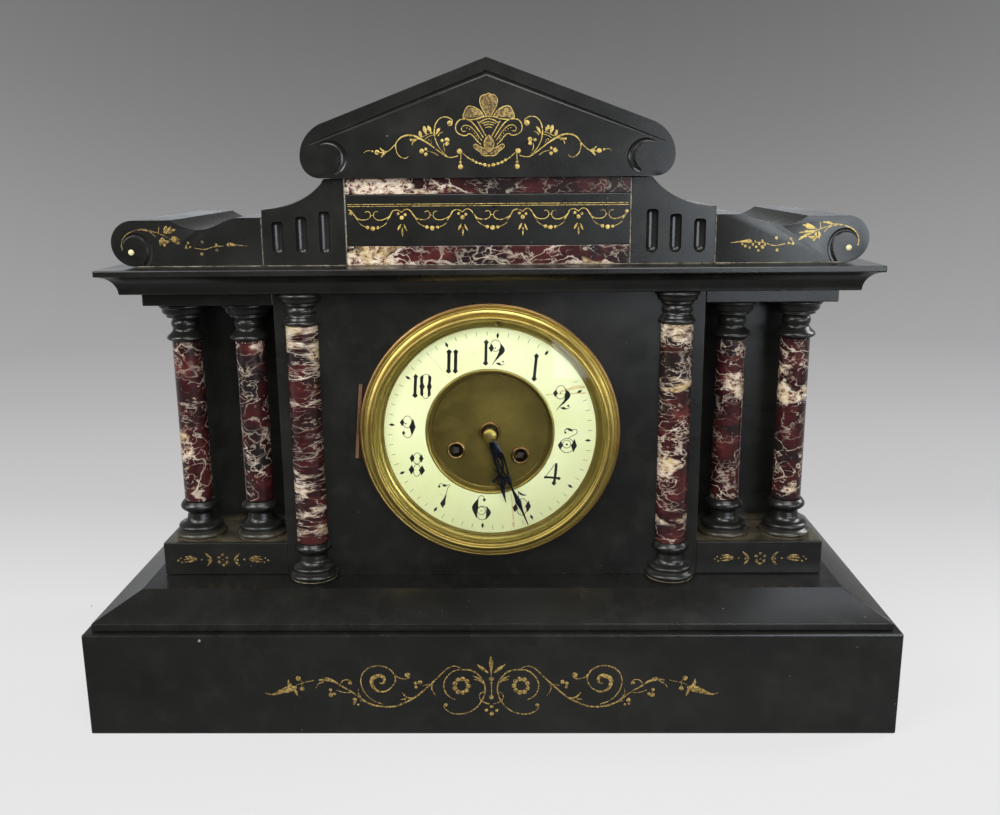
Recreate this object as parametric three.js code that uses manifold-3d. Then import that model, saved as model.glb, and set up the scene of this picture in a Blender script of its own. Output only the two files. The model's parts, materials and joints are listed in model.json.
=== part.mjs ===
// Black slate mantel clock with marble columns and a round eight-day movement.
// Millimetres. X to the right, Y to the back, Z up, origin under the middle of the base.
// The movement, dial and hands sit in a group of their own, turned a little in the case.

import * as THREE from 'three';
import { mergeVertices } from 'three/addons/utils/BufferGeometryUtils.js';
import Module from 'manifold-3d';

const wasm = await Module();
wasm.setup();

// Joints and cutters
const bed = 0.3;
const running = 0.3;
const overrun = 1;
const root = 0.6;

// Base: hollow plinth and the sloping moulding on it
const baseDepth = 206;
const plinthHeight = 68;
const plinthWall = 24;
const plinthTop = 18;
const mouldingSetback = 4.7;
const mouldingFasciaHeight = 4.7;
const mouldingSlopeDepth = 25.2;
const mouldingHeight = 18;

// Case plan
const caseInset = 37.5;
const caseSetback = 53;
const caseBackSetback = 6;
const panelMargin = 52.3;
const wingWidth = 82.5;
const panelThickness = 14;
const wingRecess = 44;
const wingWall = 12;
const wingOverhang = 20;
const backThickness = 11.7;

// Case heights
const pedestalHeight = 22.1;
const architraveHeight = 7.95;
const dialFootroom = 15.2;
const dialHeadroom = 7.35;

// Cornice
const corniceOverhang = 21.1;
const corniceFasciaHeight = 3.9;
const corniceHollowHeight = 11.95;
const corniceSoffitInset = 10.6;

// Columns
const outerColumnInset = 20.1;
const middleColumnInset = 21.2;
const innerColumnInset = 17.2;
const outerColumnSetback = 20;
const outerShaftRadius = 9.4;
const outerFootRadius = 16;
const outerRingRadius = 12;
const outerNeckRadius = 8;
const outerFlareRadius = 16.3;
const outerFootHeight = 24.5;
const outerCapHeight = 24.7;
const innerShaftRadius = 10.2;
const innerFootRadius = 15.6;
const innerRingRadius = 11.7;
const innerNeckRadius = 8.6;
const innerFlareRadius = 14.2;
const innerFootHeight = 23.8;
const innerCapHeight = 20.2;

// Attic on the cornice
const atticSetback = 2;
const atticInset = 4.2;
const friezeWidth = 175;
const lowerStripHeight = 11.6;
const friezeHeight = 30.9;
const upperStripHeight = 9.5;
const fluteBlockWidth = 51;
const fluteBlockShoulder = 33.6;
const fluteBlockCrown = 12.5;
const fluteWidth = 6.3;
const fluteFootHeight = 7;
const fluteLength = 19.5;
const fluteStepHeight = 3;
const scrollBlockHeight = 29.5;
const scrollDipDepth = 6.6;
const voluteRadius = 10.6;
const voluteWidth = 3.4;
const voluteDepth = 1.6;
const voluteStart = 225;
const voluteEnd = 40;

// Pediment
const pedimentWidth = 227;
const pedimentHeight = 69.4;
const pedimentRakeHeight = 37.6;
const pedimentRollRadius = 12.5;
const pedimentProjection = 3.4;
const rakeInset = 9.2;
const rakeGrooveWidth = 3.6;
const rakeGrooveDepth = 1.4;
const crescentRadius = 9.5;
const crescentStart = 135;
const crescentEnd = 240;

// Dial and bezel, with heights above the face of the front panel
const movementTurn = 5;
const chapterOuter = 67.9;
const chapterThickness = 1.7;
const chapterLap = 2.6;
const panelHoleInset = 1.9;
const backingInner = 44;
const backingInset = 1.7;
const backingThickness = 1.2;
const surroundSlopeWidth = 4.5;
const surroundRise = 7.2;
const surroundWall = 1;
const bezelLap = 0.2;
const bezelWidth = 10.5;
const bezelRise = 18;
const glassThickness = 1.5;
const glassSeatDepth = 1.7;
const glassRimWidth = 2;
const centreThickness = 0.9;
const eyeletRadius = 5.7;
const eyeletHoleRadius = 4.3;
const eyeletRise = 1.1;
const centreEyeletRadius = 7;
const centreEyeletHoleRadius = 5;
const hingeRadius = 1.4;
const hingePinRadius = 0.5;
const hingeLength = 49;
const hingeOffset = 1.5;
const hingeLeafLap = 4;
const strapWidth = 8;
const strapThickness = 1.8;
const strapInset = 2.2;
const footRadius = 1.5;

// Movement plates and pillars
const plateRadius = 48.5;
const plateThickness = 2;
const frontPlateDepth = 10;
const plateSpacing = 32;
const minuteStudLength = 7;
const pillarRadius = 2;
const pillarInset = 4.6;
const pivotRadius = 0.7;
const arborRadius = 1.2;

// Winding arbors and barrels
const windingSpread = 41.6;
const windingDrop = 13.9;
const windingSquare = 3.6;
const windingRadius = 2.6;
const windingSquareRise = 1.6;
const drumRadius = 18;
const drumLength = 20;
const drumFrontGap = 4;
const drumStep = 3;
const greatWheelThickness = 2.5;

// Wheels
const greatTeeth = 48;
const greatModule = 0.825;
const greatPinionLeaves = 8;
const intermediateModule = 0.625;
const intermediateTeeth = 48;
const centreLeaves = 8;
const centreModule = 0.64;
const centreTeeth = 48;
const thirdLeaves = 6;
const thirdTeeth = 45;
const escapeModule = 0.56;
const escapeLeaves = 6;
const escapeTeeth = 30;
const escapeRadius = 9.4;
const thirdBearing = 110;
const pinWheelBearing = 110;
const pinWheelRadius = 14;
const pinCount = 10;
const pinRadius = 0.7;
const pinLength = 0.6;
const pinInset = 1.4;
const motionModule = 0.75;
const cannonLeaves = 8;
const minuteTeeth = 24;
const minuteLeaves = 8;
const hourTeeth = 32;
const wheelThickness = 1.4;
const wheelRimWidth = 2;
const wheelSpokeWidth = 1.8;
const wheelHubRadius = 3;
const wheelGap = 1;
const cannonPinionLength = 2.1;
const minutePinionLength = 2.8;
const spokes = 4;

// Hands and hand arbors
const cannonRadius = 1.6;
const hourPipeRadius = 2.9;
const hourHandRise = 7;
const minuteHandRise = 9.5;
const handThickness = 0.8;
const hourHandLength = 47;
const minuteHandLength = 65;
const hourHandTurn = 162.75;
const minuteHandTurn = 153;
const collarRadius = 4.6;
const nutRadius = 4.3;
const nutHeight = 2.8;
const tipRadius = 0.9;

// Escapement, crutch and pendulum
const anchorThickness = 1.6;
const crutchLength = 26;
const crutchWidth = 2.6;
const crutchThickness = 1.5;
const crutchGap = 2.2;
const forkProngWidth = 1;
const cockWidth = 26;
const cockHeight = 12;
const cockThickness = 2;
const cockGap = 6.4;
const cockPostRadius = 2;
const suspensionPinRadius = 1.2;
const suspensionPinLength = 7;
const rodRadius = 1.2;
const rodGap = 2.6;
const eyeRadius = 3;
const pendulumLength = 120;
const bobRadius = 17;
const bobThickness = 9;
const bobRimThickness = 2.5;
const regulatorRadius = 1;
const regulatorInset = 3;
const regulatorRise = 7;
const regulatorShaftRise = 5.2;
const regulatorSquare = 1.5;

// Bell and hammer
const bellOffset = 6;
const bellDrop = 8;
const bellRadius = 38;
const bellDepth = 16;
const bellWall = 1.6;
const bellGap = 18;
const bellPostOffset = 22;
const bellPostDrop = 30;
const bellPostRadius = 2;
const bellArmThickness = 2.5;
const bellArmRadius = 2.6;
const bellArmDepth = 4;
const hammerOffset = 38;
const hammerHeight = 22;
const hammerHeadRadius = 3.2;
const hammerHeadLength = 7;
const hammerRodRadius = 1;
const hammerGap = 1;
const hammerBearing = 170;

// Rear ring and rear door
const backHoleMargin = 6;
const rearRingWidth = 14;
const rearRingThickness = 2;
const rearDoorInset = 2;
const rearDoorThickness = 1.4;
const rearDoorKnobRadius = 5;
const rearDoorKnobRise = 1.4;
const rearDoorKnobInset = 8;
const rearHingeLength = 40;
const rearHingeRadius = 1.3;
const strapScrewRadius = 1.6;
const strapScrewLength = 6;

// Facets
const turningFacets = 12;
const shaftFacets = 16;
const ringFacets = 24;
const smallFacets = 8;
const pivotFacets = 6;
const curveFacets = 6;
const spokeFacets = 2;
const pinFacets = 4;
const hollowFacets = 5;

// Worked out from the sizes above
const frontY = -baseDepth / 2;
const baseBackY = baseDepth / 2;
const faceY = frontY + caseSetback;
const panelBackY = faceY + panelThickness;
const wingY = faceY + wingRecess;
const backY = baseBackY - caseBackSetback;
const backPanelY = backY - backThickness;
const surroundOuter = chapterOuter + surroundSlopeWidth;
const bezelInner = surroundOuter - bezelLap;
const bezelOuter = bezelInner + bezelWidth;
const halfPanel = bezelOuter + panelMargin;
const halfCase = halfPanel + wingWidth;
const halfBase = halfCase + caseInset;
const returnInnerX = halfPanel - wingWall;
const wingOuterX = halfCase - wingOverhang;
const outerColumnX = halfCase - outerColumnInset;
const middleColumnX = halfPanel + middleColumnInset;
const innerColumnX = halfPanel - innerColumnInset;

const mouldingZ = plinthHeight + bed;
const caseZ = mouldingZ + mouldingHeight + bed;
const dialHeight = caseZ + dialFootroom + bezelOuter;
const panelTopZ = dialHeight + bezelOuter + dialHeadroom;
const architraveZ = panelTopZ - architraveHeight;
const wingZ = caseZ + pedestalHeight + bed;
const wingHeight = architraveZ - bed - wingZ;
const corniceZ = panelTopZ + bed;
const atticZ = corniceZ + corniceHollowHeight + corniceFasciaHeight + bed;
const friezeZ = atticZ + lowerStripHeight + bed;
const upperStripZ = friezeZ + friezeHeight + bed;
const fluteBlockHeight = upperStripZ + upperStripHeight - atticZ;
const pedimentZ = atticZ + fluteBlockHeight + bed;
const panelHoleRadius = chapterOuter - panelHoleInset;
const chapterInner = backingInner - chapterLap;
const backingOuter = bezelOuter - backingInset;
const regulatorHeight = chapterOuter + regulatorInset;
const backHoleRadius = panelHoleRadius + backHoleMargin;
const rearRingInner = panelHoleRadius;
const rearRingOuter = rearRingInner + rearRingWidth;
const rearDoorRadius = rearRingOuter - rearDoorInset;
const atticY = faceY + atticSetback;
const columnY = faceY + outerColumnSetback;
const fluteBlockX = friezeWidth / 2 + bed;
const scrollBlockX = fluteBlockX + fluteBlockWidth + bed;
const scrollBlockWidth = halfCase + corniceOverhang - atticInset - scrollBlockX;

// Materials
const material = (color, roughness, metalness, extra = {}) =>
  new THREE.MeshStandardMaterial({ color, roughness, metalness, ...extra });
const slate = material(0x121314, 0.38, 0);
const marble = material(0x5a2224, 0.22, 0);
const brass = material(0xa98a3c, 0.35, 1);
const dullBrass = material(0x7d6a35, 0.55, 1);
const steel = material(0x55585c, 0.35, 1);
const blueSteel = material(0x15171d, 0.4, 0.6);
const ivory = material(0xf1ebcf, 0.3, 0);
const bellMetal = material(0xb09a5c, 0.3, 1);
const glass = material(0xffffff, 0.04, 0, { transparent: true, opacity: 0.15 });

const radians = THREE.MathUtils.degToRad;
const turn = radians(movementTurn);
const clock = new THREE.Group();
const movement = new THREE.Group();
movement.position.set(0, 0, dialHeight);
movement.rotation.y = turn;
clock.add(movement);

// Closed meshes: shared vertices, no flat triangles on the axis, faces pointing out
const signedVolume = (position, index) => {
  const corner = [0, 1, 2].map(() => new THREE.Vector3());
  let total = 0;
  for (let face = 0; face < index.length; face += 3) {
    corner.forEach((point, place) => point.fromBufferAttribute(position, index[face + place]));
    total += corner[0].dot(corner[1].clone().cross(corner[2]));
  }
  return total;
};

const closed = (geometry) => {
  const bare = geometry.clone();
  bare.deleteAttribute('normal');
  bare.deleteAttribute('uv');
  const merged = mergeVertices(bare);
  const triangles = [];
  for (let face = 0; face < merged.index.count; face += 3) {
    const [a, b, c] = [0, 1, 2].map((place) => merged.index.getX(face + place));
    if (a !== b && b !== c && c !== a) triangles.push([a, b, c]);
  }
  const inward = signedVolume(merged.attributes.position, triangles.flat()) < 0;
  merged.setIndex(triangles.flatMap(([a, b, c]) => (inward ? [a, c, b] : [a, b, c])));
  return merged;
};

const solid = (geometry) => {
  const body = closed(geometry);
  return new wasm.Manifold(new wasm.Mesh({
    numProp: 3,
    vertProperties: new Float32Array(body.attributes.position.array),
    triVerts: new Uint32Array(body.index.array),
  }));
};

const geometryOf = (manifold) => {
  const mesh = manifold.getMesh();
  const geometry = new THREE.BufferGeometry();
  const positions = [];
  for (let vertex = 0; vertex < mesh.numVert; vertex += 1) {
    const start = vertex * mesh.numProp;
    positions.push(...mesh.vertProperties.slice(start, start + mesh.numProp));
  }
  geometry.setAttribute('position', new THREE.Float32BufferAttribute(positions, 3));
  geometry.setIndex([...mesh.triVerts]);
  return geometry;
};

const joined = (...pieces) => geometryOf(pieces.map(solid).reduce((a, b) => a.add(b)));
const cut = (piece, ...cutters) =>
  geometryOf(cutters.map(solid).reduce((a, b) => a.subtract(b), solid(piece)));
const common = (piece, other) => geometryOf(solid(piece).intersect(solid(other)));

// Shapes
const block = (x0, x1, y0, y1, z0, z1) =>
  new THREE.BoxGeometry(x1 - x0, y1 - y0, z1 - z0)
    .translate((x0 + x1) / 2, (y0 + y1) / 2, (z0 + z1) / 2);

const outline = (points) => new THREE.Shape(points.map(([x, y]) => new THREE.Vector2(x, y)));

// A shape drawn in X and Z, standing between two depths
const standing = (shape, y0, y1, facets = curveFacets) =>
  new THREE.ExtrudeGeometry(shape, { depth: y1 - y0, bevelEnabled: false, curveSegments: facets })
    .rotateX(Math.PI / 2)
    .translate(0, y1, 0);

// A shape drawn in X and Y, lying between two heights
const lying = (shape, z0, z1) =>
  new THREE.ExtrudeGeometry(shape, { depth: z1 - z0, bevelEnabled: false })
    .translate(0, 0, z0);

// Profiles are lists of radius and height; arbors and rings turn about Y, columns about Z
const turned = (profile, facets) =>
  new THREE.LatheGeometry(profile.map(([r, h]) => new THREE.Vector2(r, h)), facets);
const turnedUpright = (profile, facets) => turned(profile, facets).rotateX(Math.PI / 2);
const ring = (inner, outer, y0, y1, facets = ringFacets) =>
  turned([[inner, y0], [outer, y0], [outer, y1], [inner, y1], [inner, y0]], facets);
const disc = (radius, y0, y1, facets = smallFacets) =>
  turned([[0, y0], [radius, y0], [radius, y1], [0, y1]], facets);
const rod = (radius, x, z, y0, y1, facets = smallFacets) =>
  disc(radius, y0, y1, facets).translate(x, 0, z);
const upright = (radius, x, y, z0, z1, facets = smallFacets) =>
  turnedUpright([[0, z0], [radius, z0], [radius, z1], [0, z1]], facets).translate(x, y, 0);

const place = (group, name, geometry, finish, x = 0, y = 0, z = 0) => {
  const body = closed(geometry);
  body.computeVertexNormals();
  const mesh = new THREE.Mesh(body, finish.clone());
  mesh.name = name;
  mesh.position.set(x, y, z);
  group.add(mesh);
  return mesh;
};

const sides = [['left', -1], ['right', 1]];

// A slab with the same moulding, mitred, on its front and ends and a plain back.
// The profile lists how far in each level lies and how high it is. The slab is what an
// extrusion from front to back and one from end to end have in common.
const mouldedSlab = (halfWidth, front, back, profile) => {
  const falling = [...profile].reverse();
  const frontToBack = standing(outline([
    ...profile.map(([inset, height]) => [halfWidth - inset, height]),
    ...falling.map(([inset, height]) => [inset - halfWidth, height]),
  ]), front - overrun, back);
  const [, top] = falling[0];
  const endToEnd = standing(outline([
    ...falling.map(([inset, height]) => [front + inset, height]),
    [back + overrun, 0],
    [back + overrun, top],
  ]), -halfWidth - overrun, halfWidth + overrun).rotateZ(Math.PI / 2);
  return common(frontToBack, endToEnd);
};

// Base
const plinth = cut(
  block(-halfBase, halfBase, frontY, baseBackY, 0, plinthHeight),
  block(plinthWall - halfBase, halfBase - plinthWall,
    frontY + plinthWall, baseBackY - plinthWall, -overrun, plinthHeight - plinthTop),
);
place(clock, 'base_plinth', plinth, slate);

const moulding = mouldedSlab(halfBase - mouldingSetback, frontY + mouldingSetback, baseBackY, [
  [0, 0],
  [0, mouldingFasciaHeight],
  [mouldingSlopeDepth, mouldingHeight],
]);
place(clock, 'base_moulding', moulding, slate, 0, 0, mouldingZ);

// Turned feet and capitals of the columns, radii and heights as shares of their named sizes
const footShares = {
  foot: [[0.96, 0], [1, 0.1], [0.96, 0.21], [0.87, 0.31], [0.73, 0.45]],
  neck: [[1.1, 0.56], [1.02, 0.64], [1.12, 0.71]],
  ring: [[0.88, 0.77], [1, 0.87], [0.93, 1]],
};
const capShares = {
  ring: [[0.9, 0], [1, 0.09], [0.93, 0.2]],
  neck: [[1.1, 0.35], [1, 0.54]],
  flare: [[0.71, 0.65], [0.88, 0.84], [0.99, 0.93], [1, 1]],
};
const scaled = (shares, radius, height) => shares.map(([r, h]) => [r * radius, h * height]);

const footProfile = (foot, neck, topRing, height) => [
  ...scaled(footShares.foot, foot, height),
  ...scaled(footShares.neck, neck, height),
  ...scaled(footShares.ring, topRing, height),
];
const capProfile = (lowRing, neck, flare, height) => [
  ...scaled(capShares.ring, lowRing, height),
  ...scaled(capShares.neck, neck, height),
  ...scaled(capShares.flare, flare, height),
];
const capped = (profile, sinkBelow, sinkAbove) => {
  const [firstRadius, firstHeight] = profile[0];
  const [lastRadius, lastHeight] = profile[profile.length - 1];
  return [
    [0, firstHeight - sinkBelow],
    [firstRadius, firstHeight - sinkBelow],
    ...(sinkBelow > 0 ? profile : profile.slice(1)),
    ...(sinkAbove > 0 ? [[lastRadius, lastHeight + sinkAbove]] : []),
    [0, lastHeight + sinkAbove],
  ];
};

// Plan shared by the pedestals and architraves of the wings, notched for the two panels
const wingSlabPlan = (side) => outline([
  [halfPanel + bed, faceY],
  [halfCase, faceY],
  [halfCase, backY],
  [wingOuterX + bed, backY],
  [wingOuterX + bed, backPanelY - bed],
  [returnInnerX, backPanelY - bed],
  [returnInnerX, panelBackY + bed],
  [halfPanel + bed, panelBackY + bed],
].map(([x, y]) => [side * x, y]));

// Folded wall of a wing: return behind the front panel, recessed wing panel and side
const wingWallPlan = (side) => outline([
  [halfPanel, panelBackY + bed],
  [halfPanel, wingY],
  [wingOuterX, wingY],
  [wingOuterX, backPanelY - bed],
  [wingOuterX - wingWall, backPanelY - bed],
  [wingOuterX - wingWall, wingY + wingWall],
  [returnInnerX, wingY + wingWall],
  [returnInnerX, panelBackY + bed],
].map(([x, y]) => [side * x, y]));

const outerFoot = turnedUpright(capped(
  footProfile(outerFootRadius, outerNeckRadius, outerRingRadius, outerFootHeight), overrun, 0,
), turningFacets);
const outerCap = turnedUpright(capped(
  capProfile(outerRingRadius, outerNeckRadius, outerFlareRadius, outerCapHeight), 0, overrun,
), turningFacets);
const outerShaftZ = wingZ - bed + outerFootHeight + bed;
const outerCapZ = architraveZ - outerCapHeight;
const outerShaftLength = outerCapZ - bed - outerShaftZ;
const wingColumns = [['outer', outerColumnX], ['middle', middleColumnX]];

for (const [sideName, side] of sides) {
  const feet = wingColumns.map(([, x]) => outerFoot.clone().translate(side * x, columnY, wingZ - bed));
  const caps = wingColumns.map(([, x]) => outerCap.clone().translate(side * x, columnY, outerCapZ));
  const pedestal = joined(lying(wingSlabPlan(side), caseZ, wingZ - bed), ...feet);
  const architrave = joined(lying(wingSlabPlan(side), architraveZ, panelTopZ), ...caps);
  place(clock, `pedestal_${sideName}`, pedestal, slate);
  place(clock, `side_wall_${sideName}`, lying(wingWallPlan(side), wingZ, wingZ + wingHeight), slate);
  place(clock, `architrave_${sideName}`, architrave, slate);
  for (const [columnName, x] of wingColumns) {
    const shaft = upright(outerShaftRadius, 0, 0, 0, outerShaftLength, shaftFacets);
    place(clock, `column_shaft_${columnName}_${sideName}`, shaft, marble,
      side * x, columnY, outerShaftZ);
  }
}

// Half-round columns on the front panel
const frontHalf = (geometry, reach, height) =>
  common(geometry, block(-reach, reach, -reach, -bed, -overrun, height + overrun));
const innerFoot = frontHalf(turnedUpright(capped(
  footProfile(innerFootRadius, innerNeckRadius, innerRingRadius, innerFootHeight), 0, 0,
), turningFacets), innerFootRadius + overrun, innerFootHeight);
const innerCap = frontHalf(turnedUpright(capped(
  capProfile(innerRingRadius, innerNeckRadius, innerFlareRadius, innerCapHeight), 0, 0,
), turningFacets), innerFlareRadius + overrun, innerCapHeight);
const innerShaftZ = caseZ + innerFootHeight + bed;
const innerCapZ = panelTopZ - innerCapHeight;
const innerShaftLength = innerCapZ - bed - innerShaftZ;
const innerShaft = frontHalf(
  upright(innerShaftRadius, 0, 0, 0, innerShaftLength, shaftFacets),
  innerShaftRadius + overrun, innerShaftLength,
);
for (const [sideName, side] of sides) {
  const x = side * innerColumnX;
  place(clock, `half_column_foot_${sideName}`, innerFoot, slate, x, faceY, caseZ);
  place(clock, `half_column_shaft_${sideName}`, innerShaft, marble, x, faceY, innerShaftZ);
  place(clock, `half_column_cap_${sideName}`, innerCap, slate, x, faceY, innerCapZ);
}

// Front and back panels with the round holes for the movement
const turnedPoint = (x, z) => [
  x * Math.cos(turn) + z * Math.sin(turn),
  dialHeight - x * Math.sin(turn) + z * Math.cos(turn),
];
const [regulatorX, regulatorZ] = turnedPoint(0, regulatorHeight);
const frontPanel = cut(
  block(-halfPanel, halfPanel, faceY, panelBackY, caseZ, panelTopZ),
  rod(panelHoleRadius, 0, dialHeight, faceY - overrun, panelBackY + overrun, ringFacets),
  rod(regulatorRadius + running + root, regulatorX, regulatorZ,
    faceY - overrun, panelBackY + overrun),
);
place(clock, 'front_panel', frontPanel, slate);

const backPanel = cut(
  block(-wingOuterX, wingOuterX, backPanelY, backY, caseZ, panelTopZ),
  rod(backHoleRadius, 0, dialHeight, backPanelY - overrun, backY + overrun, ringFacets),
);
place(clock, 'back_panel', backPanel, slate);

// Cornice: flat soffit, hollow and fascia
const hollowProfile = Array.from({ length: hollowFacets + 1 }, (_, step) => {
  const angle = (step / hollowFacets) * Math.PI / 2;
  return [corniceSoffitInset * Math.cos(angle), corniceHollowHeight * Math.sin(angle)];
});
const cornice = mouldedSlab(
  halfCase + corniceOverhang, faceY - corniceOverhang, backY,
  [...hollowProfile, [0, corniceHollowHeight + corniceFasciaHeight]],
);
place(clock, 'cornice', cornice, slate, 0, 0, corniceZ);

// Attic: marble strips, frieze, fluted blocks and scroll blocks
const atticBlock = (height) => block(-friezeWidth / 2, friezeWidth / 2, atticY, backY, 0, height);
place(clock, 'marble_strip_lower', atticBlock(lowerStripHeight), marble, 0, 0, atticZ);
place(clock, 'frieze_block', atticBlock(friezeHeight), slate, 0, 0, friezeZ);
place(clock, 'marble_strip_upper', atticBlock(upperStripHeight), marble, 0, 0, upperStripZ);

const fluteShares = [0.2, 0.5, 0.81];
const fluteCrownShares = { along: 0.333, up: 0.111 };
const fluteCutter = (x, length) => {
  const radius = fluteWidth / 2;
  const low = fluteFootHeight + radius;
  const high = fluteFootHeight + length;
  const profile = [
    [0, low - radius], [radius * Math.SQRT1_2, low - radius * Math.SQRT1_2], [radius, low],
    [radius, high - radius / 2], [radius / 2, high], [0, high],
  ];
  return turnedUpright(profile, smallFacets).translate(x, atticY, 0);
};
const fluteBlock = () => {
  const shape = new THREE.Shape();
  shape.moveTo(0, 0);
  shape.lineTo(fluteBlockWidth, 0);
  shape.lineTo(fluteBlockWidth, fluteBlockShoulder);
  shape.quadraticCurveTo(
    fluteBlockCrown + (fluteBlockWidth - fluteBlockCrown) * fluteCrownShares.along,
    fluteBlockShoulder + (fluteBlockHeight - fluteBlockShoulder) * fluteCrownShares.up,
    fluteBlockCrown, fluteBlockHeight,
  );
  shape.lineTo(0, fluteBlockHeight);
  const flutes = fluteShares.map((share, order) =>
    fluteCutter(share * fluteBlockWidth,
      fluteLength + fluteStepHeight * (fluteShares.length - 1 - order)));
  return cut(standing(shape, atticY, backY), ...flutes);
};

const scrollDipShares = { start: 0.6, slope: 0.522, floor: 0.42, rise: 0.315, crest: 0.255, end: 0.15 };
const scrollBlock = () => {
  const radius = scrollBlockHeight / 2;
  const end = scrollBlockWidth - radius;
  const floorHeight = scrollBlockHeight - scrollDipDepth;
  const dip = Object.fromEntries(Object.entries(scrollDipShares)
    .map(([name, share]) => [name, share * scrollBlockWidth]));
  const shape = new THREE.Shape();
  shape.moveTo(0, 0);
  shape.lineTo(end, 0);
  shape.absarc(end, radius, radius, -Math.PI / 2, Math.PI / 2, false);
  shape.lineTo(dip.start, scrollBlockHeight);
  shape.quadraticCurveTo(dip.slope, floorHeight, dip.floor, floorHeight);
  shape.bezierCurveTo(dip.rise, floorHeight, dip.crest, scrollBlockHeight,
    dip.end, scrollBlockHeight);
  shape.lineTo(0, scrollBlockHeight);
  return cut(standing(shape, atticY, backY), voluteCutter(end, radius));
};

// The volute is a crescent cut into the front of the roll
const voluteShiftShare = 0.25;
const voluteCutter = (x, z) => {
  const inner = voluteRadius - voluteWidth / 2;
  const shift = voluteWidth * voluteShiftShare;
  const start = radians(voluteStart);
  const finish = radians(voluteEnd);
  const shape = new THREE.Shape();
  shape.absarc(0, 0, voluteRadius, start, finish, true);
  shape.absarc(shift, -shift, inner, finish, start, false);
  return standing(shape, atticY - overrun, atticY + voluteDepth, shaftFacets / 2)
    .translate(x, 0, z);
};

const flip = (geometry) => geometry.clone().scale(-1, 1, 1);
const pair = (geometry, name, finish, offset, z) => {
  for (const [sideName, side] of sides) {
    const body = side > 0 ? geometry : flip(geometry);
    place(clock, `${name}_${sideName}`, body, finish, side * offset, 0, z);
  }
};
pair(fluteBlock(), 'flute_block', slate, fluteBlockX, atticZ);
pair(scrollBlock(), 'scroll_block', slate, scrollBlockX, atticZ);

// Pediment with rolled ends, the carved line under its rakes and two crescents
const rollShares = { corner: 0.333, low: 0.5, high: 1.6 };
const crescentShares = { shift: 0.125, inner: 0.8 };
const pediment = () => {
  const half = pedimentWidth / 2;
  const shoulder = half - pedimentRollRadius;
  const shoulderHeight = pedimentHeight - pedimentRakeHeight;
  const corner = pedimentRollRadius * rollShares.corner;
  const roll = new THREE.Path();
  roll.moveTo(shoulder, 0);
  roll.bezierCurveTo(half - corner, 0, half, pedimentRollRadius * rollShares.low,
    half, pedimentRollRadius);
  roll.bezierCurveTo(half, pedimentRollRadius * rollShares.high, half - corner,
    shoulderHeight - corner, shoulder, shoulderHeight);
  const right = roll.getPoints(curveFacets).map(({ x, y }) => [x, y]);
  const left = [...right].reverse().map(([x, y]) => [-x, y]);
  const gable = outline([...right, [0, pedimentHeight], ...left]);

  const front = atticY - pedimentProjection;
  const apex = pedimentHeight - rakeInset;
  const low = shoulderHeight - rakeInset - rakeGrooveWidth;
  const chevron = outline([
    [0, apex], [-shoulder, low], [-(shoulder - rakeGrooveWidth), low],
    [0, apex - rakeGrooveWidth], [shoulder - rakeGrooveWidth, low], [shoulder, low],
  ]);
  const crescent = (side) => {
    const groove = new THREE.Shape();
    groove.absarc(0, 0, crescentRadius, radians(crescentStart), radians(crescentEnd), false);
    groove.absarc(crescentRadius * crescentShares.shift, 0, crescentRadius * crescentShares.inner,
      radians(crescentEnd), radians(crescentStart), true);
    return standing(groove, front - overrun, front + rakeGrooveDepth)
      .scale(side, 1, 1).translate(side * shoulder, 0, pedimentRollRadius);
  };
  return cut(standing(gable, front, backY),
    standing(chevron, front - overrun, front + rakeGrooveDepth), crescent(1), crescent(-1));
};
place(clock, 'pediment', pediment(), slate, 0, 0, pedimentZ);

// Dial: brass surround with its backing ring, straps, feet and the fixed half of the hinge
const dialFootBearings = [45, 135, 225, 315];
const above = (height) => faceY - height;
const backingFront = bed + backingThickness;
const hingeX = -(bezelOuter + hingeOffset);
const hingeY = above(bed + hingeRadius);
const strapX = panelHoleRadius - strapInset - strapThickness;
const frontPlateY = faceY + frontPlateDepth;
const plateGapY = frontPlateY + plateThickness;
const backPlateY = plateGapY + plateSpacing;
const movementBackY = backPlateY + plateThickness;
const dialFootRing = backingInner + footRadius + root;
const centre = [0, 0];
const polar = ([x, z], distance, degrees) => {
  const angle = radians(degrees);
  return [x + distance * Math.cos(angle), z + distance * Math.sin(angle)];
};
const knuckle = hingeLength / 3;

const surround = () => {
  const profile = [
    [backingInner, above(bed)],
    [backingOuter, above(bed)],
    [backingOuter, above(backingFront)],
    [surroundOuter + surroundWall, above(backingFront)],
    [surroundOuter + surroundWall, above(surroundRise)],
    [surroundOuter, above(surroundRise)],
    [chapterOuter + bed, above(backingFront)],
    [backingInner, above(backingFront)],
    [backingInner, above(bed)],
  ];
  const straps = sides.map(([, side]) => {
    const middle = side * (strapX + strapThickness / 2);
    return block(middle - strapThickness / 2, middle + strapThickness / 2,
      above(backingFront), backY - strapScrewLength, -strapWidth / 2, strapWidth / 2);
  });
  const feet = dialFootBearings.map((bearing) =>
    rod(footRadius, ...polar(centre, dialFootRing, bearing), above(backingFront),
      frontPlateY - running, pivotFacets));
  const leaf = block(hingeX, hingeLeafLap - backingOuter, above(backingFront), above(bed),
    running - knuckle / 2, knuckle / 2 - running);
  const barrel = upright(hingeRadius, hingeX, hingeY, running - knuckle / 2, knuckle / 2 - running);
  const pin = upright(hingePinRadius, hingeX, hingeY, -hingeLength / 2, hingeLength / 2,
    pivotFacets);
  const regulatorHole = rod(regulatorRadius + running, 0, regulatorHeight,
    above(bezelRise), faceY);
  return cut(joined(turned(profile, ringFacets), ...straps, ...feet, leaf, barrel, pin),
    regulatorHole);
};
place(movement, 'dial_surround', surround(), brass);

place(movement, 'chapter_ring', ring(chapterInner, chapterOuter,
  above(backingFront + bed + chapterThickness), above(backingFront + bed)), ivory);

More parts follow.
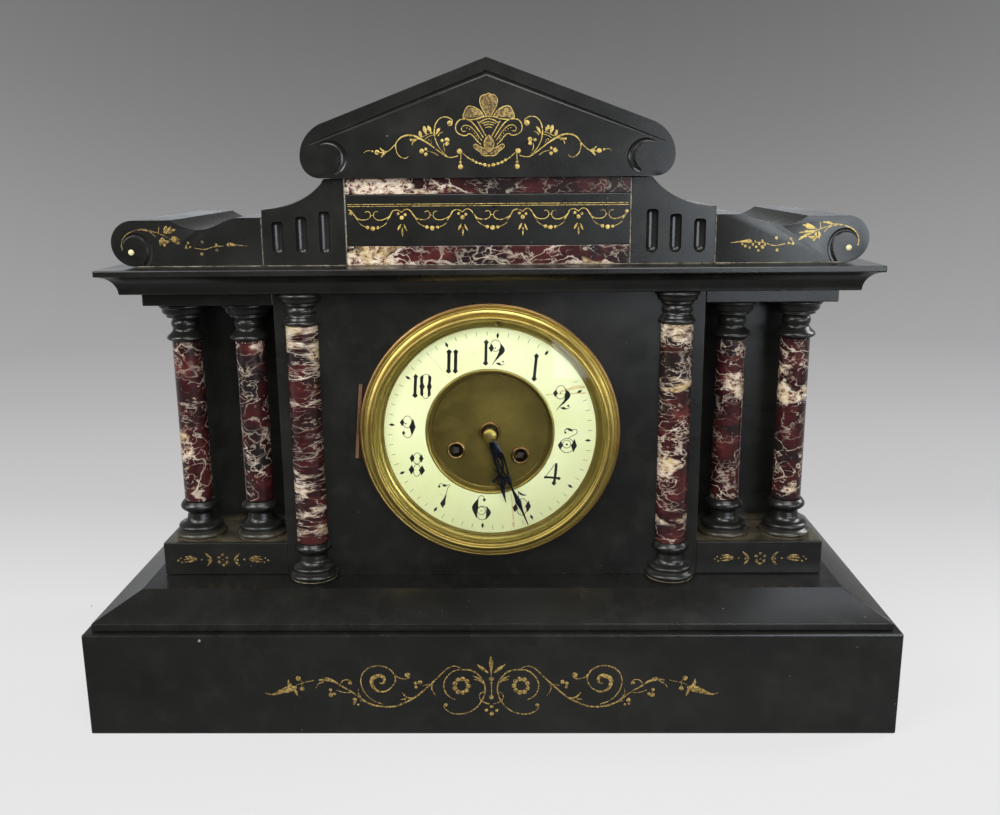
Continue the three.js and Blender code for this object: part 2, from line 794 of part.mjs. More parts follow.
const windingX = windingSpread / 2;
const windingPlaces = [[windingX, -windingDrop], [-windingX, -windingDrop]];
const dialCentre = () => {
  const back = above(bed);
  const front = above(bed + centreThickness);
  const eyelet = (x, z, outer) => rod(outer, x, z, front - eyeletRise, back, turningFacets);
  const holes = windingPlaces.map(([x, z]) =>
    rod(eyeletHoleRadius, x, z, front - eyeletRise - overrun, faceY, turningFacets));
  return cut(
    joined(disc(backingInner - bed, front, back, ringFacets),
      eyelet(0, 0, centreEyeletRadius),
      ...windingPlaces.map(([x, z]) => eyelet(x, z, eyeletRadius))),
    rod(centreEyeletHoleRadius, 0, 0, front - eyeletRise - overrun, faceY, turningFacets),
    ...holes,
  );
};
place(movement, 'dial_centre', dialCentre(), dullBrass);

// Bezel door: moulded ring with two hinge knuckles, and the glass behind its lip
const bezelShares = [
  [1, 0.16], [0.93, 0.24], [0.78, 0.29], [0.68, 0.54], [0.57, 0.58], [0.43, 0.9], [0.27, 1],
];
const doorBack = backingFront + bed;
const glassRadius = bezelInner + glassRimWidth;
const glassFront = bezelRise - glassSeatDepth - bed;
const bezel = () => {
  const width = bezelOuter - bezelInner;
  const height = bezelRise - doorBack;
  const profile = [
    [glassRadius + bed, above(doorBack)],
    [bezelOuter, above(doorBack)],
    ...bezelShares.map(([r, h]) => [bezelInner + r * width, above(doorBack + h * height)]),
    [bezelInner, above(bezelRise - glassSeatDepth / 2)],
    [bezelInner, above(bezelRise - glassSeatDepth)],
    [glassRadius + bed, above(bezelRise - glassSeatDepth)],
    [glassRadius + bed, above(doorBack)],
  ];
  const knuckles = [1, -1].map((side) => {
    const from = Math.min(side * knuckle / 2, side * hingeLength / 2);
    const to = Math.max(side * knuckle / 2, side * hingeLength / 2);
    const leaf = block(hingeX, hingeLeafLap - bezelOuter, above(doorBack + backingThickness),
      above(doorBack), from, to);
    const bore = upright(hingePinRadius + running, hingeX, hingeY, from - overrun, to + overrun,
      pivotFacets);
    return [joined(upright(hingeRadius, hingeX, hingeY, from, to), leaf), bore];
  });
  return cut(joined(turned(profile, ringFacets), ...knuckles.map(([body]) => body)),
    ...knuckles.map(([, bore]) => bore));
};
place(movement, 'bezel_ring', bezel(), brass);
place(movement, 'bezel_glass',
  disc(glassRadius, above(glassFront), above(glassFront - glassThickness), ringFacets), glass);

// Toothed wheels. Tips stand less far out than the roots go in, which leaves the backlash.
const fullCircle = 360;
const tipShare = 0.7;
const rootShare = 1.3;
const pitchRadius = (teeth, module) => teeth * module / 2;
const tipRadiusOf = (teeth, module) => pitchRadius(teeth, module) + tipShare * module;

const gearShape = (teeth, module, phase) => {
  const tip = tipRadiusOf(teeth, module);
  const low = pitchRadius(teeth, module) - rootShare * module;
  const points = Array.from({ length: teeth * 2 }, (_, corner) => {
    const angle = phase + corner * Math.PI / teeth;
    const radius = corner % 2 ? low : tip;
    return [radius * Math.cos(angle), radius * Math.sin(angle)];
  });
  return outline(points);
};
const pinion = (leaves, module, phase, y0, y1) => standing(gearShape(leaves, module, phase), y0, y1);

// A wheel with crossed arms between its rim and its hub
const crossedWheel = (shape, rimRadius, hub, y0, y1) => {
  const inner = rimRadius - wheelRimWidth;
  for (let spoke = 0; spoke < spokes; spoke += 1) {
    const start = spoke * 2 * Math.PI / spokes;
    const end = start + 2 * Math.PI / spokes;
    const outerTurn = Math.asin(wheelSpokeWidth / 2 / inner);
    const innerTurn = Math.asin(wheelSpokeWidth / 2 / hub);
    const hole = new THREE.Path();
    hole.absarc(0, 0, inner, start + outerTurn, end - outerTurn, false);
    hole.absarc(0, 0, hub, end - innerTurn, start + innerTurn, true);
    shape.holes.push(hole);
  }
  return standing(shape, y0, y1, spokeFacets);
};
const wheel = (teeth, module, phase, y0, y1) => crossedWheel(gearShape(teeth, module, phase),
  pitchRadius(teeth, module) - rootShare * module, wheelHubRadius, y0, y1);

// Phase that sets the gaps of one wheel on the teeth of the wheel that it meshes with
const meshingPhase = (from, fromTeeth, fromPhase, to, toTeeth) => {
  const bearing = Math.atan2(to[1] - from[1], to[0] - from[0]);
  const turns = (bearing - fromPhase) * fromTeeth / (2 * Math.PI);
  return bearing + Math.PI - (Math.PI / toTeeth) * (1 - 2 * turns);
};

// The point at given distances from two others, on the right of the way from the first
const meetingPoint = (a, fromA, b, fromB) => {
  const across = Math.hypot(b[0] - a[0], b[1] - a[1]);
  const along = (fromA ** 2 - fromB ** 2 + across ** 2) / (2 * across);
  const off = Math.sqrt(fromA ** 2 - along ** 2);
  const unit = [(b[0] - a[0]) / across, (b[1] - a[1]) / across];
  return [a[0] + along * unit[0] - off * unit[1], a[1] + along * unit[1] + off * unit[0]];
};
const distanceOf = (teethA, teethB, module) => module * (teethA + teethB) / 2;

const [goingPlace, strikePlace] = windingPlaces;
const centreToIntermediate = distanceOf(intermediateTeeth, centreLeaves, intermediateModule);
const greatToPinion = distanceOf(greatTeeth, greatPinionLeaves, greatModule);
const intermediatePlace = meetingPoint(centre, centreToIntermediate, goingPlace, greatToPinion);
const thirdPlace = polar(centre, distanceOf(centreTeeth, thirdLeaves, centreModule), thirdBearing);
const thirdToEscape = distanceOf(thirdTeeth, escapeLeaves, escapeModule);
const escapePlace = [0, thirdPlace[1] + Math.sqrt(thirdToEscape ** 2 - thirdPlace[0] ** 2)];
const anchorPlace = [0, escapePlace[1] + escapeRadius * Math.SQRT2];
const pinWheelPlace = polar(strikePlace, greatToPinion, pinWheelBearing);
const motionDistance = distanceOf(cannonLeaves, minuteTeeth, motionModule);
const hourModule = 2 * motionDistance / (minuteLeaves + hourTeeth);
const minutePlace = [0, -motionDistance];
const hammerPlace = [-hammerOffset, hammerHeight];

// Levels of the wheels between the plates, from the front
const frontWheelY = plateGapY + running + wheelGap;
const drumY = plateGapY + drumFrontGap;
const greatY = drumY + drumLength;
const centreWheelY = backPlateY - drumStep - wheelThickness / 2;
const escapeWheelY = greatY + greatWheelThickness - wheelThickness;
const thirdWheelY = plateGapY + plateSpacing / 2;

// Pivots run from the face of one plate to the other
const pivotFrontY = frontPlateY + root;
const pivotBackY = movementBackY - root;
const betweenPlates = (radius) => [
  disc(radius, plateGapY + running, backPlateY - running, pivotFacets),
  disc(pivotRadius, pivotFrontY, pivotBackY, pivotFacets),
];

// Plates
const pivotHole = ([x, z], radius, y0, facets = pivotFacets) =>
  rod(radius + running, x, z, y0 - overrun, y0 + plateThickness + overrun, facets);
const pivotPlaces = [intermediatePlace, thirdPlace, escapePlace, pinWheelPlace];
const pillarBearings = [43, 137, 256, 284];
const pillarPlaces = pillarBearings.map((bearing) =>
  polar(centre, plateRadius - pillarInset, bearing));
const frontPlate = () => cut(
  joined(disc(plateRadius, frontPlateY, plateGapY, ringFacets),
    rod(pivotRadius + root / 2, ...minutePlace, frontPlateY - minuteStudLength, plateGapY)),
  ...pivotPlaces.map((spot) => pivotHole(spot, pivotRadius, frontPlateY)),
  pivotHole(anchorPlace, pivotRadius, frontPlateY),
  pivotHole(centre, arborRadius, frontPlateY),
  pivotHole(hammerPlace, pivotRadius, frontPlateY),
  ...windingPlaces.map((spot) => pivotHole(spot, windingRadius, frontPlateY, smallFacets)),
);
place(movement, 'front_plate', frontPlate(), brass);

const bellPlace = [bellOffset, -bellDrop];
const bellPost = [bellPostOffset, -bellPostDrop];
const bellMouthY = movementBackY + bellGap;
const bellCrownY = bellMouthY + bellDepth;
const bellArmY = bellMouthY + bellArmDepth;

const backPlate = () => {
  const pillars = pillarPlaces.map(([x, z]) =>
    rod(pillarRadius, x, z, plateGapY + running, backPlateY + root, pivotFacets));
  const arm = new THREE.Shape();
  const [dx, dz] = [bellPlace[0] - bellPost[0], bellPlace[1] - bellPost[1]];
  const length = Math.hypot(dx, dz);
  arm.absarc(0, 0, bellArmRadius, Math.PI / 2, -Math.PI / 2, false);
  arm.absarc(length, 0, bellArmRadius, -Math.PI / 2, Math.PI / 2, false);
  const bellArm = standing(arm, bellArmY, bellArmY + bellArmThickness)
    .rotateY(-Math.atan2(dz, dx)).translate(bellPost[0], 0, bellPost[1]);
  const stand = joined(
    rod(bellPostRadius, ...bellPost, backPlateY + root, bellArmY + root),
    bellArm,
    rod(bellPostRadius, ...bellPlace, bellArmY + root, bellCrownY - bellWall - bed),
  );
  return cut(joined(disc(plateRadius, backPlateY, movementBackY, ringFacets), ...pillars, stand),
    ...pivotPlaces.map((spot) => pivotHole(spot, pivotRadius, backPlateY)),
    pivotHole(anchorPlace, arborRadius, backPlateY),
    pivotHole(centre, pivotRadius, backPlateY),
    pivotHole(hammerPlace, arborRadius, backPlateY),
    ...windingPlaces.map((spot) => pivotHole(spot, windingRadius, backPlateY, smallFacets)));
};
place(movement, 'back_plate', backPlate(), brass);

// Barrels and the winding arbors in them
const greatPhase = Math.PI / greatTeeth;
const barrel = () => cut(
  joined(
    disc(drumRadius, drumY, greatY + root, shaftFacets),
    standing(gearShape(greatTeeth, greatModule, greatPhase), greatY, greatY + greatWheelThickness),
  ),
  disc(windingRadius + running, drumY - overrun, greatY + greatWheelThickness + overrun),
);
place(movement, 'going_barrel', barrel(), brass, goingPlace[0], 0, goingPlace[1]);
place(movement, 'strike_barrel', barrel(), brass, strikePlace[0], 0, strikePlace[1]);

const windingArbor = () => {
  const half = windingSquare / 2;
  return joined(
    disc(windingRadius, frontPlateY - root, movementBackY),
    block(-half, half, above(windingSquareRise), frontPlateY, -half, half),
  );
};
place(movement, 'going_winding_arbor', windingArbor(), steel, goingPlace[0], 0, goingPlace[1]);
place(movement, 'strike_winding_arbor', windingArbor(), steel, strikePlace[0], 0, strikePlace[1]);

// Going train
const wheelOn = (name, spot, ...pieces) =>
  place(movement, name, joined(...pieces), brass, spot[0], 0, spot[1]);

const intermediatePinionPhase = meshingPhase(goingPlace, greatTeeth, greatPhase,
  intermediatePlace, greatPinionLeaves);
const intermediatePhase = 0;
wheelOn('intermediate_wheel', intermediatePlace,
  wheel(intermediateTeeth, intermediateModule, intermediatePhase, frontWheelY, frontWheelY + wheelThickness),
  pinion(greatPinionLeaves, greatModule, intermediatePinionPhase,
    greatY - root, greatY + greatWheelThickness + root),
  ...betweenPlates(arborRadius));

const centrePinionPhase = meshingPhase(intermediatePlace, intermediateTeeth, intermediatePhase,
  centre, centreLeaves);
const centrePhase = 0;
const cannonPinionY = frontPlateY - running - cannonPinionLength;
const cannonPhase = Math.PI / cannonLeaves;
const minuteHandY = above(minuteHandRise + handThickness);
const nutY = minuteHandY - running - nutHeight;
wheelOn('centre_wheel', centre,
  wheel(centreTeeth, centreModule, centrePhase, centreWheelY, centreWheelY + wheelThickness),
  pinion(centreLeaves, intermediateModule, centrePinionPhase,
    frontWheelY - root, frontWheelY + wheelThickness + root),
  disc(arborRadius, cannonPinionY, backPlateY - running),
  disc(pivotRadius, plateGapY, pivotBackY),
  pinion(cannonLeaves, motionModule, cannonPhase, cannonPinionY, frontPlateY - running),
  disc(cannonRadius, minuteHandY - running / 2, cannonPinionY + root),
  disc(tipRadius, nutY, cannonPinionY));

const thirdPinionPhase = meshingPhase(centre, centreTeeth, centrePhase, thirdPlace, thirdLeaves);
const thirdPhase = 0;
wheelOn('third_wheel', thirdPlace,
  wheel(thirdTeeth, escapeModule, thirdPhase, thirdWheelY, thirdWheelY + wheelThickness),
  pinion(thirdLeaves, centreModule, thirdPinionPhase,
    centreWheelY - root, centreWheelY + wheelThickness + root),
  ...betweenPlates(arborRadius));

// The escape wheel's teeth lean forward
const escapeShape = () => {
  const pitch = 2 * Math.PI / escapeTeeth;
  const escapeRootShare = 0.84;
  const leanShare = 0.3;
  const points = Array.from({ length: escapeTeeth * 2 }, (_, corner) => {
    const tooth = Math.floor(corner / 2) * pitch;
    const angle = corner % 2 ? tooth + pitch * (1 - leanShare) : tooth + pitch;
    const radius = corner % 2 ? escapeRadius * escapeRootShare : escapeRadius;
    return [radius * Math.cos(-angle), radius * Math.sin(-angle)];
  });
  return outline(points);
};
const escapePinionPhase = meshingPhase(thirdPlace, thirdTeeth, thirdPhase, escapePlace, escapeLeaves);
wheelOn('escape_wheel', escapePlace,
  standing(escapeShape(), escapeWheelY, escapeWheelY + wheelThickness),
  pinion(escapeLeaves, escapeModule, escapePinionPhase,
    thirdWheelY - root, thirdWheelY + wheelThickness + root),
  ...betweenPlates(arborRadius));

// Striking train as far as the pin wheel that lifts the hammer
const pinPinionPhase = meshingPhase(strikePlace, greatTeeth, greatPhase,
  pinWheelPlace, greatPinionLeaves);
wheelOn('pin_wheel', pinWheelPlace,
  ...Array.from({ length: pinCount }, (_, pin) => {
    const bearing = pin * fullCircle / pinCount;
    return rod(pinRadius, ...polar(centre, pinWheelRadius - pinInset, bearing),
      frontWheelY - pinLength, frontWheelY + root, pinFacets);
  }),
  disc(pinWheelRadius, frontWheelY, frontWheelY + wheelThickness, shaftFacets),
  disc(wheelHubRadius, frontWheelY - root / 2, frontWheelY + wheelThickness + root),
  pinion(greatPinionLeaves, greatModule, pinPinionPhase,
    greatY - root, greatY + greatWheelThickness + root),
  ...betweenPlates(arborRadius));

// Motion work behind the dial
const minuteWheelY = cannonPinionY + (frontPlateY - running - cannonPinionY - wheelThickness) / 2;
const minutePhase = meshingPhase(centre, cannonLeaves, cannonPhase, minutePlace, minuteTeeth);
const minutePinionPhase = 0;
const minutePinionY = minuteWheelY - minutePinionLength;
place(movement, 'minute_wheel', cut(
  joined(
    standing(gearShape(minuteTeeth, motionModule, minutePhase), minuteWheelY,
      minuteWheelY + wheelThickness),
    pinion(minuteLeaves, hourModule, minutePinionPhase, minutePinionY, minuteWheelY + root),
  ),
  disc(pivotRadius + root / 2 + running, minutePinionY - overrun,
    minuteWheelY + wheelThickness + overrun),
), brass, minutePlace[0], 0, minutePlace[1]);

const hourWheelY = minutePinionY;
const hourHandY = above(hourHandRise + handThickness);
const hourPhase = meshingPhase(minutePlace, minuteLeaves, minutePinionPhase, centre, hourTeeth);
const hourPipeFrontY = hourHandY - running / 2;
place(movement, 'hour_wheel', cut(
  joined(
    standing(gearShape(hourTeeth, hourModule, hourPhase), hourWheelY, hourWheelY + wheelThickness),
    disc(hourPipeRadius, hourPipeFrontY, hourWheelY + root),
  ),
  disc(cannonRadius + running, hourPipeFrontY - overrun, hourWheelY + wheelThickness + overrun),
), brass);

// Hands, drawn pointing up and turned to the time
const hand = (length, bore, halfOutline, window) => {
  const shape = new THREE.Shape();
  const right = halfOutline.map(([x, z]) => [x * length, z * length]);
  const left = [...right].reverse().map(([x, z]) => [-x, z]);
  [...right, ...left].forEach(([x, z], order) => (order ? shape.lineTo(x, z) : shape.moveTo(x, z)));
  for (const pane of window) {
    const hole = new THREE.Path(pane.map(([x, z]) => new THREE.Vector2(x * length, z * length)));
    shape.holes.push(hole);
  }
  const blade = standing(shape, 0, handThickness);
  const collar = disc(collarRadius, 0, handThickness, turningFacets);
  return cut(joined(blade, collar), disc(bore + running, -overrun, handThickness + overrun));
};
const hourOutlineShares = [
  [0.03, 0], [0.03, 0.3], [0.1, 0.42], [0.13, 0.52], [0.07, 0.66], [0.02, 0.72], [0.05, 0.8],
  [0.01, 0.98],
];
const hourWindowShares = [[[0, 0.4], [0.06, 0.52], [0, 0.64], [-0.06, 0.52]]];
const minuteOutlineShares = [
  [0.022, 0], [0.022, 0.3], [0.065, 0.38], [0.085, 0.46], [0.045, 0.58], [0.014, 0.64],
  [0.034, 0.7], [0.006, 0.98],
];
const minuteWindowShares = [[[0, 0.37], [0.04, 0.46], [0, 0.56], [-0.04, 0.46]]];
const hourHand = place(movement, 'hour_hand',
  hand(hourHandLength, hourPipeRadius, hourOutlineShares, hourWindowShares),
  blueSteel, 0, hourHandY, 0);
hourHand.rotation.y = radians(hourHandTurn);
const minuteHand = place(movement, 'minute_hand',
  hand(minuteHandLength, cannonRadius, minuteOutlineShares, minuteWindowShares),
  blueSteel, 0, minuteHandY, 0);
minuteHand.rotation.y = radians(minuteHandTurn);

const nutShares = [[0.55, 0], [0.9, 0.25], [1, 0.6], [1, 1]];
const nut = () => {
  const bore = tipRadius + running;
  const profile = nutShares.map(([r, h]) => [r * nutRadius, nutY + h * nutHeight]);
  return turned([[bore, nutY + nutHeight], [bore, nutY], ...profile, [bore, nutY + nutHeight]],
    turningFacets);
};
place(movement, 'hand_nut', nut(), brass);

// Anchor with its arbor and the crutch behind the back plate
const palletShares = [
  [0.23, 0.16], [0.9, -0.3], [0.95, -0.68], [0.88, -0.72], [0.7, -0.45], [0.2, -0.24],
];
const crutchY = movementBackY + crutchGap;
const rodY = movementBackY + cockGap + cockThickness + rodGap;
const anchor = () => {
  const right = palletShares.map(([x, z]) => [x * escapeRadius, z * escapeRadius]);
  const left = [...right].reverse().map(([x, z]) => [-x, z]);
  const pallets = standing(outline([...right, ...left]), escapeWheelY,
    escapeWheelY + anchorThickness);
  const arm = block(-crutchWidth / 2, crutchWidth / 2, crutchY, crutchY + crutchThickness,
    -crutchLength, crutchWidth);
  const prongs = [1, -1].map((side) => {
    const inner = side * (rodRadius + running);
    const outer = side * (rodRadius + running + forkProngWidth);
    return block(Math.min(inner, outer), Math.max(inner, outer), crutchY, rodY + rodRadius,
      -crutchLength, -crutchLength + crutchWidth);
  });
  const forkReach = rodRadius + running + forkProngWidth;
  const crossbar = block(-forkReach, forkReach,
    crutchY, crutchY + crutchThickness, -crutchLength, -crutchLength + crutchWidth);
  const crutch = [arm, crossbar, ...prongs].map((piece) => piece.rotateY(-turn));
  return joined(pallets, ...crutch,
    disc(arborRadius, plateGapY + running, crutchY + crutchThickness),
    disc(pivotRadius, pivotFrontY, plateGapY + root));
};

// The anchor, cock and pendulum hang plumb although the movement is turned
const plumb = new THREE.Group();
plumb.position.set(anchorPlace[0], 0, anchorPlace[1]);
plumb.rotation.y = -turn;
movement.add(plumb);
place(movement, 'pallet_anchor', anchor(), steel, anchorPlace[0], 0, anchorPlace[1]);

// Suspension cock: a bridge on two posts with the pin that the pendulum hangs from
const cockY = movementBackY + cockGap;
const cockBackY = cockY + cockThickness;
const cock = () => {
  const half = cockWidth / 2;
  const postX = half - cockPostRadius;
  const tongueHalf = regulatorRadius + running + cockPostRadius;
  const tongueTop = regulatorHeight - anchorPlace[1] + tongueHalf;
  const posts = [1, -1].map((side) =>
    rod(cockPostRadius, side * postX, 0, movementBackY + bed, cockY + root));
  return cut(
    joined(block(-half, half, cockY, cockBackY, -cockHeight / 2, cockHeight / 2),
      block(-tongueHalf, tongueHalf, cockY, cockBackY, 0, tongueTop), ...posts,
      disc(suspensionPinRadius, cockBackY - root, cockBackY + suspensionPinLength)),
    rod(regulatorRadius + running, 0, regulatorHeight - anchorPlace[1],
      cockY - overrun, cockBackY + overrun),
  );
};
place(movement, 'suspension_cock', cock(), brass, anchorPlace[0], 0, anchorPlace[1]);

const regulator = () => {
  const half = regulatorSquare / 2;
  return joined(disc(regulatorRadius, above(regulatorShaftRise), cockBackY + root),
    block(-half, half, above(regulatorRise), above(regulatorShaftRise - overrun), -half, half));
};
place(movement, 'regulator_arbor', regulator(), steel, 0, 0, regulatorHeight);

// Pendulum
const bobShares = { waist: 0.6, face: 0.75 };
const bobZ = -(pendulumLength - bobRadius);
const pendulumRod = () => cut(
  joined(disc(eyeRadius, rodY - rodRadius, rodY + rodRadius, shaftFacets),
    upright(rodRadius, 0, rodY, -pendulumLength, -suspensionPinRadius - running - root)),
  disc(suspensionPinRadius + running, rodY - rodRadius - overrun, rodY + rodRadius + overrun),
);
place(plumb, 'pendulum_rod', pendulumRod(), brass);

const bob = () => {
  const half = bobThickness / 2;
  const rim = bobRimThickness / 2;
  const waist = bobRadius * bobShares.waist;
  const face = rim + (half - rim) * bobShares.face;
  const lens = turned([[0, rodY - half], [waist, rodY - face], [bobRadius, rodY - rim],
    [bobRadius, rodY + rim], [waist, rodY + face], [0, rodY + half]], shaftFacets)
    .translate(0, 0, bobZ);
  return cut(lens, upright(rodRadius + running, 0, rodY, bobZ - bobRadius - overrun,
    bobZ + bobRadius + overrun));
};
place(plumb, 'pendulum_bob', bob(), brass);

// Bell and hammer
const bellShares = [[0.2, 1], [0.6, 0.92], [0.9, 0.56], [1, 0]];
const bell = () => {
  const outer = bellShares.map(([r, h]) => [r * bellRadius, bellMouthY + h * bellDepth]);
  const inner = [...bellShares].reverse().map(([r, h]) =>
    [r * (bellRadius - bellWall), bellMouthY + h * (bellDepth - bellWall)]);
  return turned([[0, bellCrownY], ...outer, ...inner, [0, bellCrownY - bellWall]], shaftFacets);
};
place(movement, 'bell', bell(), bellMetal, bellPlace[0], 0, bellPlace[1]);

const hammer = () => {
  const [headX, headZ] = polar(bellPlace, bellRadius + hammerGap + hammerHeadRadius, hammerBearing);
  const [dx, dz] = [headX - hammerPlace[0], headZ - hammerPlace[1]];
  const armY = movementBackY + crutchGap;
  const length = Math.hypot(dx, dz);
  const arm = block(-hammerRodRadius, length + hammerRodRadius, armY, armY + crutchThickness,
    -hammerRodRadius, hammerRodRadius).rotateY(-Math.atan2(dz, dx));
  return joined(arm,
    rod(hammerRodRadius, dx, dz, armY, bellMouthY + root),
    rod(hammerHeadRadius, dx, dz, bellMouthY, bellMouthY + hammerHeadLength),
    disc(arborRadius, plateGapY + running, armY + crutchThickness),
    disc(pivotRadius, pivotFrontY, plateGapY + root));
};
place(movement, 'hammer', hammer(), steel, hammerPlace[0], 0, hammerPlace[1]);

// Rear ring with the strap screws and the fixed hinge half, and the rear door
const rearRingY = backY + bed;
const rearDoorY = rearRingY + rearRingThickness + bed;
const rearHingeX = rearRingOuter + rearHingeRadius + running;
const rearHingeY = rearRingY + rearHingeRadius;
const rearKnuckle = rearHingeLength / 3;
const rearRing = () => {
  const screws = sides.map(([, side]) => rod(strapScrewRadius, side * (strapX + strapThickness / 2), 0,
    backY - strapScrewLength + bed, rearRingY + root));
  const seats = sides.map(([, side]) => {
    const x = side * (strapX + strapThickness / 2);
    const reach = side * (rearRingInner + hingeLeafLap);
    return block(Math.min(x - side * strapWidth / 2, reach), Math.max(x - side * strapWidth / 2, reach),
      rearRingY, rearRingY + rearRingThickness, -strapWidth / 2, strapWidth / 2);
  });
  const leaf = block(rearRingOuter - hingeLeafLap, rearHingeX, rearRingY,
    rearRingY + rearRingThickness / 2, running - rearKnuckle / 2, rearKnuckle / 2 - running);
  const barrelPin = joined(
    upright(rearHingeRadius, rearHingeX, rearHingeY, running - rearKnuckle / 2,
      rearKnuckle / 2 - running),
    upright(hingePinRadius, rearHingeX, rearHingeY, -rearHingeLength / 2, rearHingeLength / 2,
      pivotFacets),
  );
  return joined(ring(rearRingInner, rearRingOuter, rearRingY, rearRingY + rearRingThickness),
    ...screws, ...seats, leaf, barrelPin);
};
place(movement, 'rear_ring', rearRing(), brass);

const rearDoor = () => {
  const knuckles = [1, -1].map((side) => {
    const from = Math.min(side * rearKnuckle / 2, side * rearHingeLength / 2);
    const to = Math.max(side * rearKnuckle / 2, side * rearHingeLength / 2);
    const leaf = block(rearDoorRadius - hingeLeafLap, rearHingeX, rearDoorY,
      rearDoorY + rearDoorThickness / 2, from, to);
    const bore = upright(hingePinRadius + running, rearHingeX, rearHingeY,
      from - overrun, to + overrun, pivotFacets);
    return [joined(upright(rearHingeRadius, rearHingeX, rearHingeY, from, to), leaf), bore];
  });
  const knob = rod(rearDoorKnobRadius, rearDoorKnobInset - rearDoorRadius, 0, rearDoorY,
    rearDoorY + rearDoorThickness + rearDoorKnobRise, turningFacets);
  return cut(joined(disc(rearDoorRadius, rearDoorY, rearDoorY + rearDoorThickness, ringFacets),
    knob, ...knuckles.map(([body]) => body)), ...knuckles.map(([, bore]) => bore));
};
place(movement, 'rear_door', rearDoor(), brass);

export default clock;
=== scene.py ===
"""Black slate mantel clock: finishes, finely turned pieces and gilt ornament on the CAD frame."""
import json
import math

import bmesh
import bpy
from mathutils import Matrix, Vector
from mathutils.geometry import interpolate_bezier

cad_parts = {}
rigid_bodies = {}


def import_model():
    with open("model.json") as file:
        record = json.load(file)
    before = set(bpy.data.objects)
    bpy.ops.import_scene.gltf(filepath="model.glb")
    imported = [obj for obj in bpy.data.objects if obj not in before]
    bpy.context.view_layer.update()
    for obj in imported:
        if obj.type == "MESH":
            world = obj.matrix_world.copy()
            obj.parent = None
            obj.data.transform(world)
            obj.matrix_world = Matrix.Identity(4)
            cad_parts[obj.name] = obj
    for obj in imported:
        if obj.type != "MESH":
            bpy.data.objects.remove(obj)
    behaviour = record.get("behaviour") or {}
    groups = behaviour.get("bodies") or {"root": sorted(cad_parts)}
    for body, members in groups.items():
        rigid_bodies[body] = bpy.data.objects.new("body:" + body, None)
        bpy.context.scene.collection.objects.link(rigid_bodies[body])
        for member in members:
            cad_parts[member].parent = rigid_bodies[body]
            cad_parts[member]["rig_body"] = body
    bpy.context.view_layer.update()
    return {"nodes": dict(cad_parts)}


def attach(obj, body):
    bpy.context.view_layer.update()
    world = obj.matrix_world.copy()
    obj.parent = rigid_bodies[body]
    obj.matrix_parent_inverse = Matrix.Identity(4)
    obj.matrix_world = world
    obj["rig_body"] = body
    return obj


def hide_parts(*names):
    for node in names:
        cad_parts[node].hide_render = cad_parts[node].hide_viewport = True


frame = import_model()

# Pieces are drawn in millimetres, as the CAD is, and reach the frame's metres in piece().
MM = 0.001
UP = (0, 0, 1)
RIGHT_ANGLE = math.radians(90)
CREASE = math.radians(19)       # faces that meet at more than this stay sharp
SIDES = (("left", -1), ("right", 1))

# Faces of the case along Y, and heights along Z
BASE_FRONT = -103
PANEL_FRONT = -50
ATTIC_FRONT = -48
PEDIMENT_FRONT = -51.4
CASE_BACK = 97
BASE_BACK = 103
MOULDING_TOP = 86.3
PEDESTAL_FOOT, PEDESTAL_TOP = 86.6, 108.7
ARCHITRAVE_FOOT, ARCHITRAVE_TOP = 266.6, 274.55
ATTIC_FOOT = 291
FRIEZE_FOOT = 302.9
PEDIMENT_FOOT = 343.9
DIAL_HEIGHT = 184.5
DIAL_TURN = math.radians(5)


def at(x, y, z):
    return Matrix.Translation((x, y, z))


def out_of_face(y):
    """Lays a piece drawn flat, as (x, height, rise), on an upright face at y."""
    return at(0, y, 0) @ Matrix.Rotation(RIGHT_ANGLE, 4, "X")


# The dial is set in the case turned a little, and its pieces are drawn flat about its axis.
OUT_OF_DIAL = (at(0, PANEL_FRONT, DIAL_HEIGHT) @ Matrix.Rotation(DIAL_TURN, 4, "Y")
               @ Matrix.Rotation(RIGHT_ANGLE, 4, "X"))


# Mesh helpers

def loop(bm, points):
    """Closed loop of edges through points."""
    verts = [bm.verts.new(p) for p in points]
    return [bm.edges.new((verts[i - 1], verts[i])) for i in range(len(verts))]


def path(bm, points):
    """Open run of edges through points."""
    verts = [bm.verts.new(p) for p in points]
    return verts + [bm.edges.new(pair) for pair in zip(verts, verts[1:])]


def loft(rings):
    """Solid through a stack of rings with equal numbers of points."""
    bm = bmesh.new()
    loops = [loop(bm, ring) for ring in rings]
    for low, high in zip(loops, loops[1:]):
        bmesh.ops.bridge_loops(bm, edges=low + high)
    for end in (loops[0], loops[-1]):
        bmesh.ops.contextual_create(bm, geom=end)
    bmesh.ops.recalc_face_normals(bm, faces=bm.faces)
    return bm


def profile(steps):
    """Points of a lathe profile. A step is (radius, height) or (radius, height, bulge), where
    bulge is how far the arc from the step before stands out, as a share of its chord."""
    arc_points = 10
    points = [Vector(steps[0][:2])]
    for step in steps[1:]:
        end, bulge = Vector(step[:2]), (step[2] if len(step) > 2 else 0)
        start = points[-1]
        if bulge:
            chord = end - start
            side = Vector((chord.y, -chord.x))
            for i in range(1, arc_points):
                t = i / arc_points
                points.append(start + chord * t + side * bulge * 4 * t * (1 - t))
        points.append(end)
    return points


def turned(steps, segments=64):
    """Piece turned about the Z axis from a profile that starts and ends where it should close."""
    bm = bmesh.new()
    geom = path(bm, [(r, 0, z) for r, z in profile(steps)])
    bmesh.ops.spin(bm, geom=geom, cent=(0, 0, 0), axis=UP, dvec=(0, 0, 0),
                   angle=math.tau, steps=segments, use_merge=True, use_duplicate=False)
    bmesh.ops.remove_doubles(bm, verts=bm.verts, dist=1e-4)
    bmesh.ops.recalc_face_normals(bm, faces=bm.faces)
    return bm


